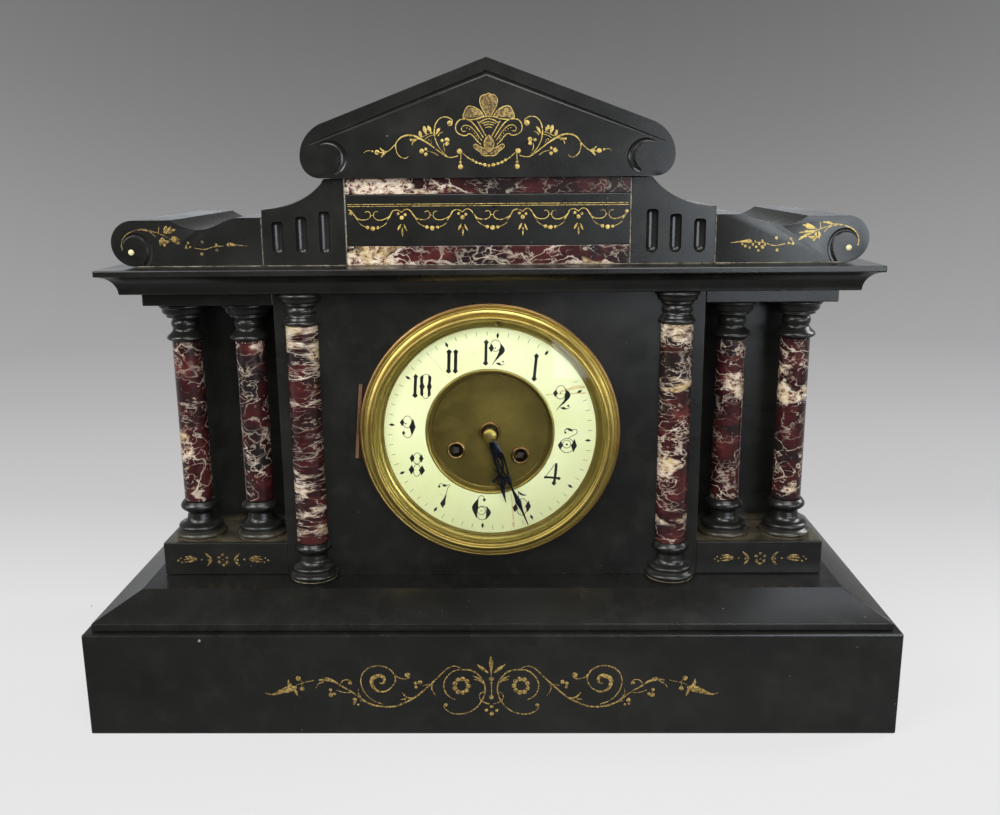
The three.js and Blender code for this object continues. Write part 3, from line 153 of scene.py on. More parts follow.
def curve_points(*runs):
    """Points along Bezier runs, each (start, pull, pull, end), laid end to end."""
    points = []
    for run in runs:
        knots = [Vector((x, y, 0)) for x, y in run]
        points += [(p.x, p.y) for p in interpolate_bezier(*knots, 14)]
    return [p for i, p in enumerate(points) if i == 0 or p != points[i - 1]]


def standing(points, front, back):
    """Outline of (x, z) points, extruded from front to back along Y."""
    return loft([[(x, front, z) for x, z in points], [(x, back, z) for x, z in points]])


def lying(points, low, high):
    """Plan of (x, y) points, extruded upwards."""
    return loft([[(x, y, low) for x, y in points], [(x, y, high) for x, y in points]])


def box(x0, x1, y0, y1, z0, z1):
    return lying([(x0, y0), (x1, y0), (x1, y1), (x0, y1)], z0, z1)


def soften(bm, width, segments=2, corner=35):
    """Rounds every edge that turns by more than the corner angle."""
    limit = math.radians(corner)
    sharp = [e for e in bm.edges if len(e.link_faces) == 2 and e.calc_face_angle(0) > limit]
    bmesh.ops.bevel(bm, geom=sharp, offset=width, offset_type="OFFSET", segments=segments,
                    profile=0.5, affect="EDGES", material=-1, clamp_overlap=True)
    return bm


def moved(bm, matrix):
    bmesh.ops.transform(bm, matrix=matrix, verts=bm.verts)
    return bm


def joined(*parts):
    """One bmesh of several, each of which is freed."""
    whole = bmesh.new()
    for part in parts:
        mesh = bpy.data.meshes.new("part")
        part.to_mesh(mesh)
        part.free()
        whole.from_mesh(mesh)
        bpy.data.meshes.remove(mesh)
    return whole


def mirrored(bm, side):
    """The piece as drawn for the right, or its mirror image for the left."""
    if side < 0:
        bmesh.ops.scale(bm, vec=(-1, 1, 1), verts=bm.verts)
        bmesh.ops.reverse_faces(bm, faces=bm.faces)
    return bm


def cut(bm, *cutters):
    """The piece with the shapes of the cutters taken out of it."""
    made = []
    for shape in (bm, *cutters):
        bmesh.ops.recalc_face_normals(shape, faces=shape.faces)
        mesh = bpy.data.meshes.new("blank")
        shape.to_mesh(mesh)
        shape.free()
        made.append(bpy.data.objects.new("blank", mesh))
        bpy.context.scene.collection.objects.link(made[-1])
    body, *tools = made
    for tool in tools:
        modifier = body.modifiers.new("cut", "BOOLEAN")
        modifier.operation = "DIFFERENCE"
        modifier.solver = "EXACT"
        modifier.object = tool
    bpy.context.view_layer.update()
    result = bmesh.new()
    result.from_object(body, bpy.context.evaluated_depsgraph_get())
    for obj in made:
        mesh = obj.data
        bpy.data.objects.remove(obj)
        bpy.data.meshes.remove(mesh)
    return result


def wires(rows, flat=1.0, dots=(), limit=None, roundness=1):
    """Round lines drawn flat. Each row is a run of (x, y, half width), each dot one such point.
    Their rise is flat times their half width, and no more than limit."""
    curve = bpy.data.curves.new("line", "CURVE")
    curve.dimensions = "3D"
    curve.bevel_depth = 1
    curve.bevel_resolution = roundness
    curve.resolution_u = 4
    curve.use_fill_caps = True
    for row in rows:
        spline = curve.splines.new("BEZIER")
        spline.bezier_points.add(len(row) - 1)
        for point, (x, y, r) in zip(spline.bezier_points, row):
            point.co = (x, y, 0)
            point.radius = r
            point.handle_left_type = point.handle_right_type = "AUTO"
    obj = bpy.data.objects.new("line", curve)
    mesh = bpy.data.meshes.new_from_object(obj)
    bm = bmesh.new()
    bm.from_mesh(mesh)
    bpy.data.objects.remove(obj)
    bpy.data.curves.remove(curve)
    bpy.data.meshes.remove(mesh)
    bmesh.ops.remove_doubles(bm, verts=bm.verts, dist=1e-4)
    for x, y, r in dots:
        bmesh.ops.create_uvsphere(bm, u_segments=12, v_segments=6, radius=r, matrix=at(x, y, 0))
    bmesh.ops.scale(bm, vec=(1, 1, flat), verts=bm.verts)
    if limit:
        for vert in bm.verts:
            vert.co.z = max(-limit, min(limit, vert.co.z))
    return bm


def mapped(rows, change):
    """Rows or dots with the change made to each point."""
    return [change(*row) if isinstance(row[0], (int, float)) else [change(*p) for p in row]
            for row in rows]


def placed(rows, middle, flip=1):
    """Rows or dots moved to a middle, and turned over left to right where flip is -1."""
    return mapped(rows, lambda x, y, r: (middle + flip * x, y, r))


def fitted(rows, width=1.0, stretch=1.0, shift=0.0, far=1e9):
    """Rows or dots with their widths and distances scaled. The shift fades out at far."""
    return mapped(rows, lambda x, y, r: (x * stretch + shift * (1 - x / far), y, r * width))


def smooth_object(name, bm, finish):
    """Object in the scene made from a bmesh, which is freed."""
    mesh = bpy.data.meshes.new(name)
    bm.to_mesh(mesh)
    bm.free()
    mesh.polygons.foreach_set("use_smooth", [True] * len(mesh.polygons))
    mesh.materials.append(finish)
    obj = bpy.data.objects.new(name, mesh)
    bpy.context.scene.collection.objects.link(obj)
    return obj


def piece(name, bm, finish, like, place=None, added=False):
    """Finished object from a bmesh in millimetres. It takes the place of the CAD node like, or is
    added to it, and rides on its body."""
    moved(bm, Matrix.Scale(MM, 4) @ (place or Matrix.Identity(4)))
    bmesh.ops.recalc_face_normals(bm, faces=bm.faces)
    obj = smooth_object(name, bm, finish)
    obj.data.set_sharp_from_angle(angle=CREASE)
    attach(obj, frame["nodes"][like]["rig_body"])
    if not added:
        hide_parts(like)


# Finishes

def tone(*values):
    """Linear colour of sRGB values from 0 to 255."""
    linear = [v / 255 / 12.92 if v <= 10 else ((v / 255 + 0.055) / 1.055) ** 2.4 for v in values]
    return (*linear, 1)


class Finish:
    """A node material that is put together from short calls."""

    def __init__(self, name):
        self.material = bpy.data.materials.new(name)
        self.material.use_nodes = True
        self.nodes = self.material.node_tree.nodes
        self.links = self.material.node_tree.links
        self.shader = self.nodes["Principled BSDF"]
        self.place = self.node("ShaderNodeTexCoord").outputs["Object"]

    def node(self, kind, options=None, **inputs):
        node = self.nodes.new(kind)
        for key, value in (options or {}).items():
            setattr(node, key, value)
        for key, value in inputs.items():
            self.feed(node, key, value)
        return node

    def feed(self, node, key, value):
        socket = node.inputs[int(key[1:])] if key[0] == "i" and key[1:].isdigit() \
            else node.inputs[key.replace("_", " ")]
        if isinstance(value, bpy.types.NodeSocket):
            self.links.new(value, socket)
        else:
            socket.default_value = value

    def set(self, **inputs):
        for key, value in inputs.items():
            self.feed(self.shader, key, value)

    def noise(self, scale, detail=4, rough=0.5, vector=None):
        return self.node("ShaderNodeTexNoise", Vector=vector or self.place, Scale=scale,
                         Detail=detail, Roughness=rough).outputs["Fac"]

    def math(self, operation, a, b=0.0, clamp=False):
        return self.node("ShaderNodeMath", {"operation": operation, "use_clamp": clamp},
                         i0=a, i1=b).outputs[0]

    def vector(self, operation, a, b=(0, 0, 0), out=0):
        return self.node("ShaderNodeVectorMath", {"operation": operation}, i0=a,
                         i1=b).outputs[out]

    def ramp(self, factor, *stops):
        node = self.node("ShaderNodeValToRGB", Fac=factor)
        bar = node.color_ramp
        while len(bar.elements) < len(stops):
            bar.elements.new(0.5)
        for element, (position, colour) in zip(bar.elements, stops):
            element.position = position
            element.color = colour
        return node.outputs["Color"]

    def level(self, factor, low, high, floor=0.0, ceiling=1.0):
        """Maps factor from low..high to floor..ceiling, held at the ends."""
        return self.node("ShaderNodeMapRange", {"clamp": True}, Value=factor, From_Min=low,
                         From_Max=high, To_Min=floor, To_Max=ceiling).outputs["Result"]

    def mix(self, factor, a, b):
        node = self.node("ShaderNodeMix", {"data_type": "RGBA"}, i0=factor, i6=a, i7=b)
        return node.outputs[2]

    def bump(self, height, strength, distance):
        return self.node("ShaderNodeBump", Height=height, Strength=strength,
                         Distance=distance).outputs["Normal"]

    def shifted(self, scale, reach, vector=None):
        """Coordinates pushed about by noise, by up to reach metres."""
        vector = vector or self.place
        noise = self.node("ShaderNodeTexNoise", Vector=vector, Scale=scale, Detail=3.0)
        centred = self.vector("SUBTRACT", noise.outputs["Color"], (0.5, 0.5, 0.5))
        pushed = self.node("ShaderNodeVectorMath", {"operation": "SCALE"}, i0=centred,
                           Scale=reach).outputs[0]
        return self.vector("ADD", vector, pushed)

    def surface(self, node):
        """Lets another shader than the Principled one show."""
        self.links.new(node.outputs[0], self.nodes["Material Output"].inputs["Surface"])

    def from_dial_axis(self):
        """Distance in metres from the axis of the dial."""
        out = self.vector("SUBTRACT", self.place, (0, 0, DIAL_HEIGHT * MM))
        return self.vector("LENGTH", self.vector("MULTIPLY", out, (1, 0, 1)), out="Value")


def slate_finish():
    """Polished black slate gone dull in patches, with pale specks and pale edges, which are partly
    wear and partly a painted highlight.
    """
    f = Finish("polished_slate")
    cloud = f.noise(13, 6, 0.62)
    smear = f.noise(5, 5, 0.65, f.node("ShaderNodeMapping", Vector=f.shifted(8, 0.05),
                                       Scale=(1.0, 1.0, 2.2)).outputs[0])
    streak = f.noise(60, 5, 0.65, f.shifted(20, 0.02))
    grain = f.noise(900, 3)
    colour = f.ramp(cloud, (0.3, tone(15, 15, 14)), (0.55, tone(22, 22, 20)),
                    (0.75, tone(32, 32, 29)))
    colour = f.mix(f.level(streak, 0.5, 0.78, 0, 0.35), colour, tone(42, 41, 37))
    cell = f.node("ShaderNodeTexVoronoi", Vector=f.place, Scale=150.0)
    speck = f.math("LESS_THAN", cell.outputs["Distance"], 0.04)
    rare = f.math("GREATER_THAN",
                  f.node("ShaderNodeSeparateColor", Color=cell.outputs["Color"]).outputs[0], 0.93)
    colour = f.mix(f.math("MULTIPLY", speck, rare), colour, tone(140, 138, 130))
    # Pale sharp edges: partly wear, partly a painted highlight.
    rounded = f.node("ShaderNodeBevel", {"samples": 4}, Radius=0.0006).outputs[0]
    flat = f.node("ShaderNodeNewGeometry").outputs["Normal"]
    facing = f.vector("DOT_PRODUCT", rounded, flat, "Value")
    edge_wear_and_painted_highlight = f.math("MULTIPLY", f.level(facing, 0.97, 0.75), f.level(streak, 0.35, 0.7, 0.05, 0.6))
    colour = f.mix(edge_wear_and_painted_highlight, colour, tone(92, 89, 80))
    place = f.node("ShaderNodeSeparateXYZ", Vector=f.place).outputs
    pedestal_top = 0.1088
    ledge = f.level(f.math("ABSOLUTE", f.math("SUBTRACT", place["Z"], pedestal_top)), 0.0006,
                    0.005, 1, 0)
    grime = f.math("MULTIPLY", f.math("MULTIPLY", ledge, f.level(place["Y"], -0.0495, -0.046)),
                   f.level(streak, 0.4, 0.65, 0.15, 0.7))
    colour = f.mix(grime, colour, tone(98, 90, 70))
    f.set(Base_Color=colour, Specular_IOR_Level=f.level(smear, 0.3, 0.7, 0.34, 0.52),
          Roughness=f.level(f.math("ADD", smear, f.math("MULTIPLY", streak, 0.5)),
                            0.45, 1.05, 0.2, 0.36),
          Normal=f.bump(f.math("ADD", f.math("MULTIPLY", grain, 0.2), streak), 0.07, 0.0004))
    return f.material


def marble_finish(name="oxblood_marble", turn=(0.3, 0.4, 0.2), squash=(1.0, 1.0, 1.5),
                  pale_from=1.0):
    """Oxblood marble: broad dark red fields, ragged white veins, cream and grey breccia, which
    covers all above the height pale_from."""
    f = Finish(name)
    laid = f.node("ShaderNodeMapping", Vector=f.place, Rotation=turn, Scale=squash).outputs[0]
    bent = f.shifted(24, 0.014, laid)
    ragged = f.shifted(110, 0.003, bent)
    body = f.noise(40, 5, 0.6, bent)
    colour = f.ramp(body, (0.32, tone(28, 14, 15)), (0.47, tone(46, 18, 20)),
                    (0.6, tone(66, 27, 27)), (0.72, tone(92, 42, 37)))
    colour = f.mix(f.level(f.noise(25, 4, 0.6, ragged), 0.53, 0.6, 0, 0.85), colour,
                   tone(27, 23, 24))
    mottle = f.noise(260, 6, 0.75, ragged)
    pale = f.ramp(mottle, (0.38, tone(38, 26, 26)), (0.45, tone(118, 80, 70)),
                  (0.52, tone(192, 174, 150)), (0.64, tone(224, 218, 202)))
    pale = f.mix(f.level(f.noise(55, 3), 0.5, 0.62, 0, 0.7), pale, tone(176, 150, 92))
    height = f.node("ShaderNodeSeparateXYZ", Vector=f.place).outputs["Z"]
    patch = f.math("ADD", f.noise(17, 4, 0.6, bent),
                   f.level(height, pale_from, pale_from + 0.012, 0, 0.14))
    colour = f.mix(f.math("MULTIPLY", f.level(patch, 0.57, 0.61), f.level(mottle, 0.36, 0.46)),
                   colour, pale)
    near = f.level(patch, 0.4, 0.58, 0.3, 1.0)
    for scale, width, vector in ((14.0, 0.009, bent), (27.0, 0.011, bent), (50.0, 0.014, ragged),
                                 (105.0, 0.017, ragged)):
        ridge = f.math("ABSOLUTE", f.math("SUBTRACT", f.noise(scale, 4, 0.5, vector), 0.5))
        broken = f.level(f.noise(scale * 0.6, 2, 0.5, bent), 0.44, 0.55)
        vein = f.math("MULTIPLY", f.level(ridge, width, width * 0.25), broken)
        strength = f.math("MULTIPLY", vein, near)
        colour = f.mix(f.math("MULTIPLY", strength, f.level(mottle, 0.34, 0.5, 0.3, 0.95)), colour,
                       tone(200, 186, 168))
    f.set(Base_Color=colour, Roughness=0.22, Specular_IOR_Level=0.4, Coat_Weight=0.15,
          Coat_Roughness=0.1)
    return f.material


def metal_finish(name, light, dark, rough, lathe=0.0, tarnish=0.5, rim=None, bead=None):
    """Old brass: uneven lacquer, brown spots and, where lathe is set, turning lines round the dial.
    Towards the radius rim, in millimetres, painted shade darkens it and leaves a painted sheen in
    the middle, and past bead it turns brown."""
    f = Finish(name)
    cloud = f.noise(40, 5, 0.6)
    spot = f.noise(70, 4, 0.55)
    colour = f.mix(f.level(cloud, 0.35, 0.7), light, dark)
    deep = tuple(c * 0.45 for c in dark[:3]) + (1,)
    colour = f.mix(f.level(spot, 0.55, 0.75, 0, tarnish), colour, deep)
    # Painted shade: darker from a quarter of the rim radius out to the rim, so the middle looks
    # lit.
    if rim:
        colour = f.mix(f.level(f.from_dial_axis(), rim * 0.25 * MM, rim * MM, 0, 0.75), colour,
                       deep)
    if bead:
        colour = f.mix(f.level(f.from_dial_axis(), bead * MM, (bead + 0.8) * MM, 0, 0.8), colour,
                       tone(142, 106, 78))
    height = f.noise(1500, 2)
    if lathe:
        line = f.node("ShaderNodeTexNoise", {"noise_dimensions": "1D"}, W=f.from_dial_axis(),
                      Scale=1600.0, Detail=3.0).outputs["Fac"]
        height = f.math("ADD", f.math("MULTIPLY", line, lathe), f.math("MULTIPLY", height, 0.1))
    f.set(Base_Color=colour, Metallic=1.0,
          Roughness=f.level(f.math("ADD", cloud, spot), 0.8, 1.3, rough, rough + 0.2),
          Normal=f.bump(height, 0.05, 0.0002))
    return f.material


def enamel_finish():
    """Glossy cream enamel, slightly uneven, with a few dark specks."""
    f = Finish("cream_enamel")
    cloud = f.noise(30, 4)
    speck = f.noise(700, 2)
    colour = f.ramp(cloud, (0.35, tone(232, 236, 184)), (0.65, tone(240, 243, 202)))
    colour = f.mix(f.level(speck, 0.72, 0.76, 0, 0.5), colour, tone(150, 138, 96))
    f.set(Base_Color=colour, Roughness=0.4, Coat_Weight=0.15, Coat_Roughness=0.1,
          Normal=f.bump(cloud, 0.15, 0.0004))
    return f.material


def plain_finish(name, colour, second, rough, metal=0.0, scale=300, coat=0.0):
    """A small part's finish: two near tones clouded together and a fine uneven surface."""
    f = Finish(name)
    cloud = f.noise(scale, 5, 0.6)
    f.set(Base_Color=f.mix(f.level(cloud, 0.35, 0.65), colour, second), Metallic=metal,
          Roughness=f.level(cloud, 0.3, 0.7, rough * 0.8, rough * 1.2), Coat_Weight=coat,
          Normal=f.bump(cloud, 0.15, 0.0002))
    return f.material


def gilt_finish(name, light, dark, wear):
    """Gold leaf in engraved lines, worn through to the slate here and there."""
    f = Finish(name)
    cloud = f.noise(120, 4, 0.6)
    worn = f.level(f.noise(620, 5, 0.7), 0.62 - wear * 0.2, 0.7 - wear * 0.2, 0, 0.9)
    f.set(Base_Color=f.mix(worn, f.mix(f.level(cloud, 0.35, 0.65), light, dark), tone(54, 44, 26)),
          Metallic=0.3, Roughness=0.42)
    return f.material


def glass_finish():
    """Thin old glass that lets the light of the lamps through."""
    f = Finish("dial_glass")
    clear = f.node("ShaderNodeBsdfTransparent", Color=(0.97, 0.98, 0.96, 1))
    gloss = f.node("ShaderNodeBsdfGlossy", Color=(1, 1, 1, 1),
                   Roughness=f.level(f.noise(20, 3), 0.4, 0.6, 0.03, 0.06))
    edge = f.node("ShaderNodeFresnel", IOR=1.2)
    f.surface(f.node("ShaderNodeMixShader", i0=edge.outputs[0], i1=clear.outputs[0],
                     i2=gloss.outputs[0]))
    return f.material


SLATE = slate_finish()
MARBLE = marble_finish()
BANDED = {"left": marble_finish("banded_marble_left", (0.1, 0.15, 0), (0.7, 0.7, 2.6), 0.226),
          "right": marble_finish("banded_marble_right", (0.35, 0.2, 0), (0.8, 0.8, 1.9))}
BRASS = metal_finish("lacquered_brass", tone(202, 180, 104), tone(168, 146, 76), 0.32, 0.1, 0.35,
                     bead=81.4)
# Brass of the dial centre, with painted shade towards the radius 52 mm and a painted sheen in the
# middle.
DULL_BRASS = metal_finish("dull_brass", tone(168, 147, 82), tone(138, 118, 62), 0.36, 0.1, 0.25,
                          52)
EYELET_BRASS = metal_finish("eyelet_brass", tone(164, 132, 88), tone(116, 90, 58), 0.3)
# Dark brass of the bezel's hinge leaves, darkened as painted shade.
LEAF_IN_PAINTED_SHADE = metal_finish("leaf_dark_with_painted_shade", tone(66, 54, 44), tone(40, 34, 29), 0.5)
MOVEMENT_BRASS = metal_finish("movement_brass", (0.66, 0.52, 0.25, 1), (0.52, 0.40, 0.17, 1), 0.3)
BELL_METAL = metal_finish("bell_metal", (0.62, 0.52, 0.36, 1), (0.46, 0.38, 0.26, 1), 0.25)
ENAMEL = enamel_finish()
BLUED = plain_finish("blued_steel", tone(20, 24, 34), tone(34, 38, 52), 0.3, 0.7)
STEEL = plain_finish("grey_steel", tone(132, 124, 122), tone(84, 70, 66), 0.35, 0.9)
INK = plain_finish("fired_black", tone(13, 14, 15), tone(26, 28, 27), 0.35, 0.0, 900, 0.2)
TICK_INK = plain_finish("fired_grey", tone(96, 102, 92), tone(124, 130, 112), 0.4, 0.0, 900, 0.3)
GILT = gilt_finish("worn_gilding", tone(182, 154, 88), tone(142, 116, 60), 0.7)
BRIGHT_GILT = gilt_finish("bright_gilding", tone(208, 184, 104), tone(172, 142, 68), 0.5)
FAINT_GILT = gilt_finish("faint_gilding", tone(168, 142, 84), tone(126, 102, 56), 0.8)
PLASTER = plain_finish("old_plaster", tone(164, 158, 138), tone(84, 80, 68), 0.9, 0.0, 500)
DUST = plain_finish("settled_dust", tone(132, 122, 96), tone(60, 56, 45), 0.95, 0.0, 260)
REPAIR = plain_finish("tan_filler", tone(208, 184, 136), tone(230, 218, 170), 0.5, 0.0, 400)
CREAM_BOSS = plain_finish("cream_boss", tone(214, 206, 160), tone(190, 178, 124), 0.4, 0.0, 300)
HINGE_BRONZE = metal_finish("hinge_bronze", tone(170, 132, 108), tone(96, 74, 58), 0.4)
GLASS = glass_finish()

FINISH_OF_SLOT = {
    "slate": SLATE, "marble": MARBLE, "brass": BRASS, "dull_brass": DULL_BRASS,
    "movement_brass": MOVEMENT_BRASS, "bell_metal": BELL_METAL, "enamel": ENAMEL,
    "blued_steel": BLUED, "steel": STEEL, "glass": GLASS,
}


# Base, cornice and panels

def moulded(half_width, front, back, levels):
    """Slab moulded on its front and ends: each level is (inset, height)."""
    rings = []
    for inset, height in levels:
        x, y = half_width - inset, front + inset
        rings.append([(-x, y, height), (x, y, height), (x, back, height), (-x, back, height)])
    return loft(rings)


def plinth():
    """Block of the base, hollowed from below."""
    half_width, height, edge, wall, depth = 255, 68, 1.1, 24, 50
    bm = soften(box(-half_width, half_width, BASE_FRONT, BASE_BACK, 0, height), edge)
    under = max(bm.faces, key=lambda face: -face.normal.z * face.calc_area())
    bmesh.ops.inset_region(bm, faces=[under], thickness=wall - edge, use_even_offset=True)
    hollow = bmesh.ops.extrude_face_region(bm, geom=[under])
    verts = [v for v in hollow["geom"] if isinstance(v, bmesh.types.BMVert)]
    bmesh.ops.translate(bm, vec=(0, 0, depth), verts=verts)
    if under.is_valid:
        bmesh.ops.delete(bm, geom=[under], context="FACES_ONLY")
    return bm


piece("slate_base", plinth(), SLATE, "base_plinth")
piece("sloped_base_moulding", soften(moulded(250.3, -98.3, BASE_BACK, [
    (0, 68.3), (0, 73), (25.2, MOULDING_TOP)]), 0.7), SLATE, "base_moulding")

COVE = [(10.6 * math.cos(a), 274.85 + 11.95 * math.sin(a))
        for a in (RIGHT_ANGLE * i / 14 for i in range(15))]
piece("hollow_cornice", soften(moulded(238.6, -71.1, CASE_BACK, COVE + [(0, 290.7)]), 0.7),
      SLATE, "cornice")


# Columns

def foot_steps(foot, neck, ring, height):
    """Turned foot: torus, two steps, a bell that sweeps up to the neck, and the ring above."""
    return [
        (0, 0), (foot * 0.93, 0), (foot * 0.93, height * 0.19, 0.42),
        (foot * 0.9, height * 0.21), (foot * 0.9, height * 0.25), (foot * 0.87, height * 0.34, 0.2),
        (foot * 0.82, height * 0.36), (neck * 1.06, height * 0.57, -0.2),
        (neck * 1.02, height * 0.63), (neck * 1.12, height * 0.71, -0.16),
        (ring * 0.86, height * 0.74), (ring * 0.93, height * 0.96, 0.3),
        (ring * 0.86, height), (0, height),
    ]


def cap_steps(ring, neck, flare, height):
    """Turned capital: ring over the shaft, neck with a bead, and two steps flaring to the slab."""
    return [
        (0, 0), (ring * 0.84, 0), (ring * 0.9, height * 0.18, 0.45), (neck * 1.16, height * 0.24),
        (neck * 1.04, height * 0.34, -0.12), (neck * 1.03, height * 0.56, 0.16),
        (neck * 1.12, height * 0.6), (flare * 0.72, height * 0.63), (flare * 0.72, height * 0.69),
        (flare * 0.88, height * 0.82, 0.22), (flare * 0.9, height * 0.86),
        (flare * 0.93, height, 0.35), (0, height),
    ]


def wing_plan(side):
    """Plan of a pedestal and of the architrave over it, which reach back round the side wall."""
    points = [(135.3, PANEL_FRONT), (217.5, PANEL_FRONT), (217.5, CASE_BACK),
              (197.8, CASE_BACK), (197.8, 85), (123, 85), (123, -35.7), (135.3, -35.7)]
    return [(side * x, y) for x, y in points]


def half(bm):
    """The front half of a turned piece, closed on its flat back."""
    cut_edge = bmesh.ops.bisect_plane(bm, geom=bm.verts[:] + bm.edges[:] + bm.faces[:], dist=1e-5,
                                      plane_co=(0, -0.3, 0), plane_no=(0, 1, 0), clear_outer=True)
    rim = [e for e in cut_edge["geom_cut"] if isinstance(e, bmesh.types.BMEdge)]
    bmesh.ops.contextual_create(bm, geom=rim)
    return bm


COLUMN_Y = -30
SHAFT_FOOT, CAP_FOOT = 133.5, 241.9
HALF_SHAFT_FOOT, HALF_CAP_FOOT = 110.7, 254.35
COLUMN_X = {"outer": 197.4, "middle": 156.2}
HALF_COLUMN_X = 117.8
SHAFT_STEPS = [(0, 0), (9.0, 0), (9.4, 0.4), (9.4, 107.7), (9.0, 108.1), (0, 108.1)]
HALF_SHAFT_STEPS = [(0, 0), (9.8, 0), (10.14, 0.4), (10.14, 142.95), (9.8, 143.35), (0, 143.35)]

for side_name, side in SIDES:
    for name, like, foot, top, steps, height in (
            ("pedestal_with_turned_feet", "pedestal", PEDESTAL_FOOT, PEDESTAL_TOP,
             foot_steps(16, 8, 12, 24.5), PEDESTAL_TOP),
            ("architrave_with_turned_capitals", "architrave", ARCHITRAVE_FOOT, ARCHITRAVE_TOP,
             cap_steps(12, 8, 16.3, 24.7), CAP_FOOT)):
        rounds = [moved(turned(steps), at(side * x, COLUMN_Y, height)) for x in COLUMN_X.values()]
        slab = soften(lying(wing_plan(side), foot, top), 0.5)
        piece(f"{name}_{side_name}", joined(slab, *rounds), SLATE, f"{like}_{side_name}")
    for column, x in COLUMN_X.items():
        node = f"column_shaft_{column}_{side_name}"
        shaft = moved(turned(SHAFT_STEPS), at(side * x, COLUMN_Y, SHAFT_FOOT))
        piece(f"polished_{node}", shaft, MARBLE, node)
    for node, steps, height, finish, slot in (
            ("half_column_foot", foot_steps(15.6, 8.6, 11.7, 23.8), PEDESTAL_FOOT, SLATE, "slate"),
            ("half_column_shaft", HALF_SHAFT_STEPS, HALF_SHAFT_FOOT, BANDED[side_name], "marble"),
            ("half_column_cap", cap_steps(11.7, 8.6, 14.2, 20.2), HALF_CAP_FOOT, SLATE, "slate")):
        column = moved(half(turned(steps)), at(side * HALF_COLUMN_X, PANEL_FRONT, height))
        piece(f"turned_{node}_{side_name}", column, finish, f"{node}_{side_name}")


# Attic: strips, frieze, fluted blocks, scroll blocks and pediment

for node, low, high, finish, slot in (
        ("marble_strip_lower", ATTIC_FOOT, 302.6, MARBLE, "marble"),
        ("frieze_block", FRIEZE_FOOT, 333.8, SLATE, "slate"),
        ("marble_strip_upper", 334.1, 343.6, MARBLE, "marble")):
    piece(f"polished_{node}", soften(box(-87.5, 87.5, ATTIC_FRONT, CASE_BACK, low, high), 0.3),
          finish, node)


BLOCK_JOINT = 140


def flute_block(side):
    """Block whose shoulder sweeps up to the pediment, with three round flutes."""
    inner_end, radius, flute_foot = 87.8, 3.7, 6.4
    width = BLOCK_JOINT - inner_end
    sweep = curve_points(((width, 34.6), (34.2, 35.6), (21.03, 41.6), (12.5, 52.6)))
    body = soften(standing([(0, 0), (width, 0)] + sweep + [(0, 52.6)], ATTIC_FRONT, CASE_BACK), 0.5)
    flutes = [moved(turned([(0, 0), (radius, radius, 0.2), (radius, length - radius * 0.7),
                            (radius * 0.5, length, 0.2), (0, length)], 32),
                    at(x, ATTIC_FRONT, flute_foot))
              for x, length in ((13.2, 26.8), (27.6, 23.8), (42.5, 20.8))]
    return moved(mirrored(cut(body, *flutes), side), at(side * inner_end, 0, ATTIC_FOOT))


def scroll_block(side):
    """Long low block with a dip in its top, rolled end and a spiral groove on its front."""
    roll, radius = 79.9, 14.2
    arc = [(roll + radius * math.cos(a), radius + radius * math.sin(a))
           for a in (-RIGHT_ANGLE + math.pi * i / 28 for i in range(29))]
    dip = curve_points(((56, 28.4), (51, 24.6), (45.3, 22.5), (38.8, 22.5)),
                       ((38.8, 22.5), (28.8, 22.5), (23.1, 29.6), (13.1, 29.6)))
    body = soften(standing([(0, 0)] + arc + dip + [(0, 29.6)], ATTIC_FRONT, CASE_BACK), 0.5)
    groove = [(roll + x, radius + y, r) for x, y, r in (
        (-5.6, -15.2, 1.8), (-9.2, -7.6, 1.8), (-8.2, 0.5, 1.8), (-4.1, 4.6, 1.6), (0.9, 5.2, 1.3),
        (5.2, 3.0, 0.9), (6.8, 0.1, 0.4))]
    cutter = moved(wires([groove], 0.7, roundness=5), out_of_face(ATTIC_FRONT))
    return moved(mirrored(cut(body, cutter), side), at(side * (BLOCK_JOINT + 0.3), 0, ATTIC_FOOT))


def pediment():
    """Gable with rolled ends, a fine line along its rakes and two crescents."""
    shoulder, rise, roll = 101, 31.8, 12.5
    right = curve_points(((shoulder, 0), (109.34, 0), (113.5, 6.25), (113.5, roll)),
                         ((113.5, roll), (113.5, 20), (109.34, 27.64), (shoulder, rise)))
    left = [(-x, y) for x, y in reversed(right)]
    body = soften(standing(right + [(0, 69.4)] + left, PEDIMENT_FRONT, CASE_BACK), 0.5)
    rake = loft([[(x, PEDIMENT_FRONT + 0.65 * r * math.sin(a), z + r * math.cos(a))
                  for a in (math.tau * i / 20 for i in range(20))]
                 for x, z, r in ((-107, 20.2, 0.6), (-50, 41.5, 1.6), (0, 60.2, 1.8),
                                 (50, 41.5, 1.6), (107, 20.2, 0.6))])
    x, y, radius = 96.5, 11.6, 9.6
    crescent = [(x + radius * math.cos(math.radians(a)), y + radius * math.sin(math.radians(a)), r)
                for a, r in ((64, 0.6), (92, 1.4), (135, 2.1), (180, 2.6), (218, 2.2), (246, 1.2))]
    crescents = [moved(wires(placed([crescent], 0, side), 0.8, roundness=5),
                       out_of_face(PEDIMENT_FRONT)) for side in (-1, 1)]
    return moved(cut(body, rake, *crescents), at(0, 0, PEDIMENT_FOOT))


for side_name, side in SIDES:
    piece(f"fluted_block_{side_name}", flute_block(side), SLATE,
          f"flute_block_{side_name}")
    piece(f"scrolled_block_{side_name}", scroll_block(side), SLATE,
          f"scroll_block_{side_name}")
piece("rolled_pediment", pediment(), SLATE, "pediment")


# Dial, bezel and hands

def dial_turned(steps, segments=128):
    """Turned about the dial's axis: steps are (radius, height above the front panel)."""
    return turned(steps, segments)


def rod(x, y, radius, low, high, segments=24):
    """Upright rod of the dial's pieces, with its top end slightly rounded."""
    edge = radius * 0.12
    return moved(turned([(0, low), (radius, low), (radius, high - edge), (radius - edge, high, 0.2),
                         (0, high)], segments), at(x, y, 0))


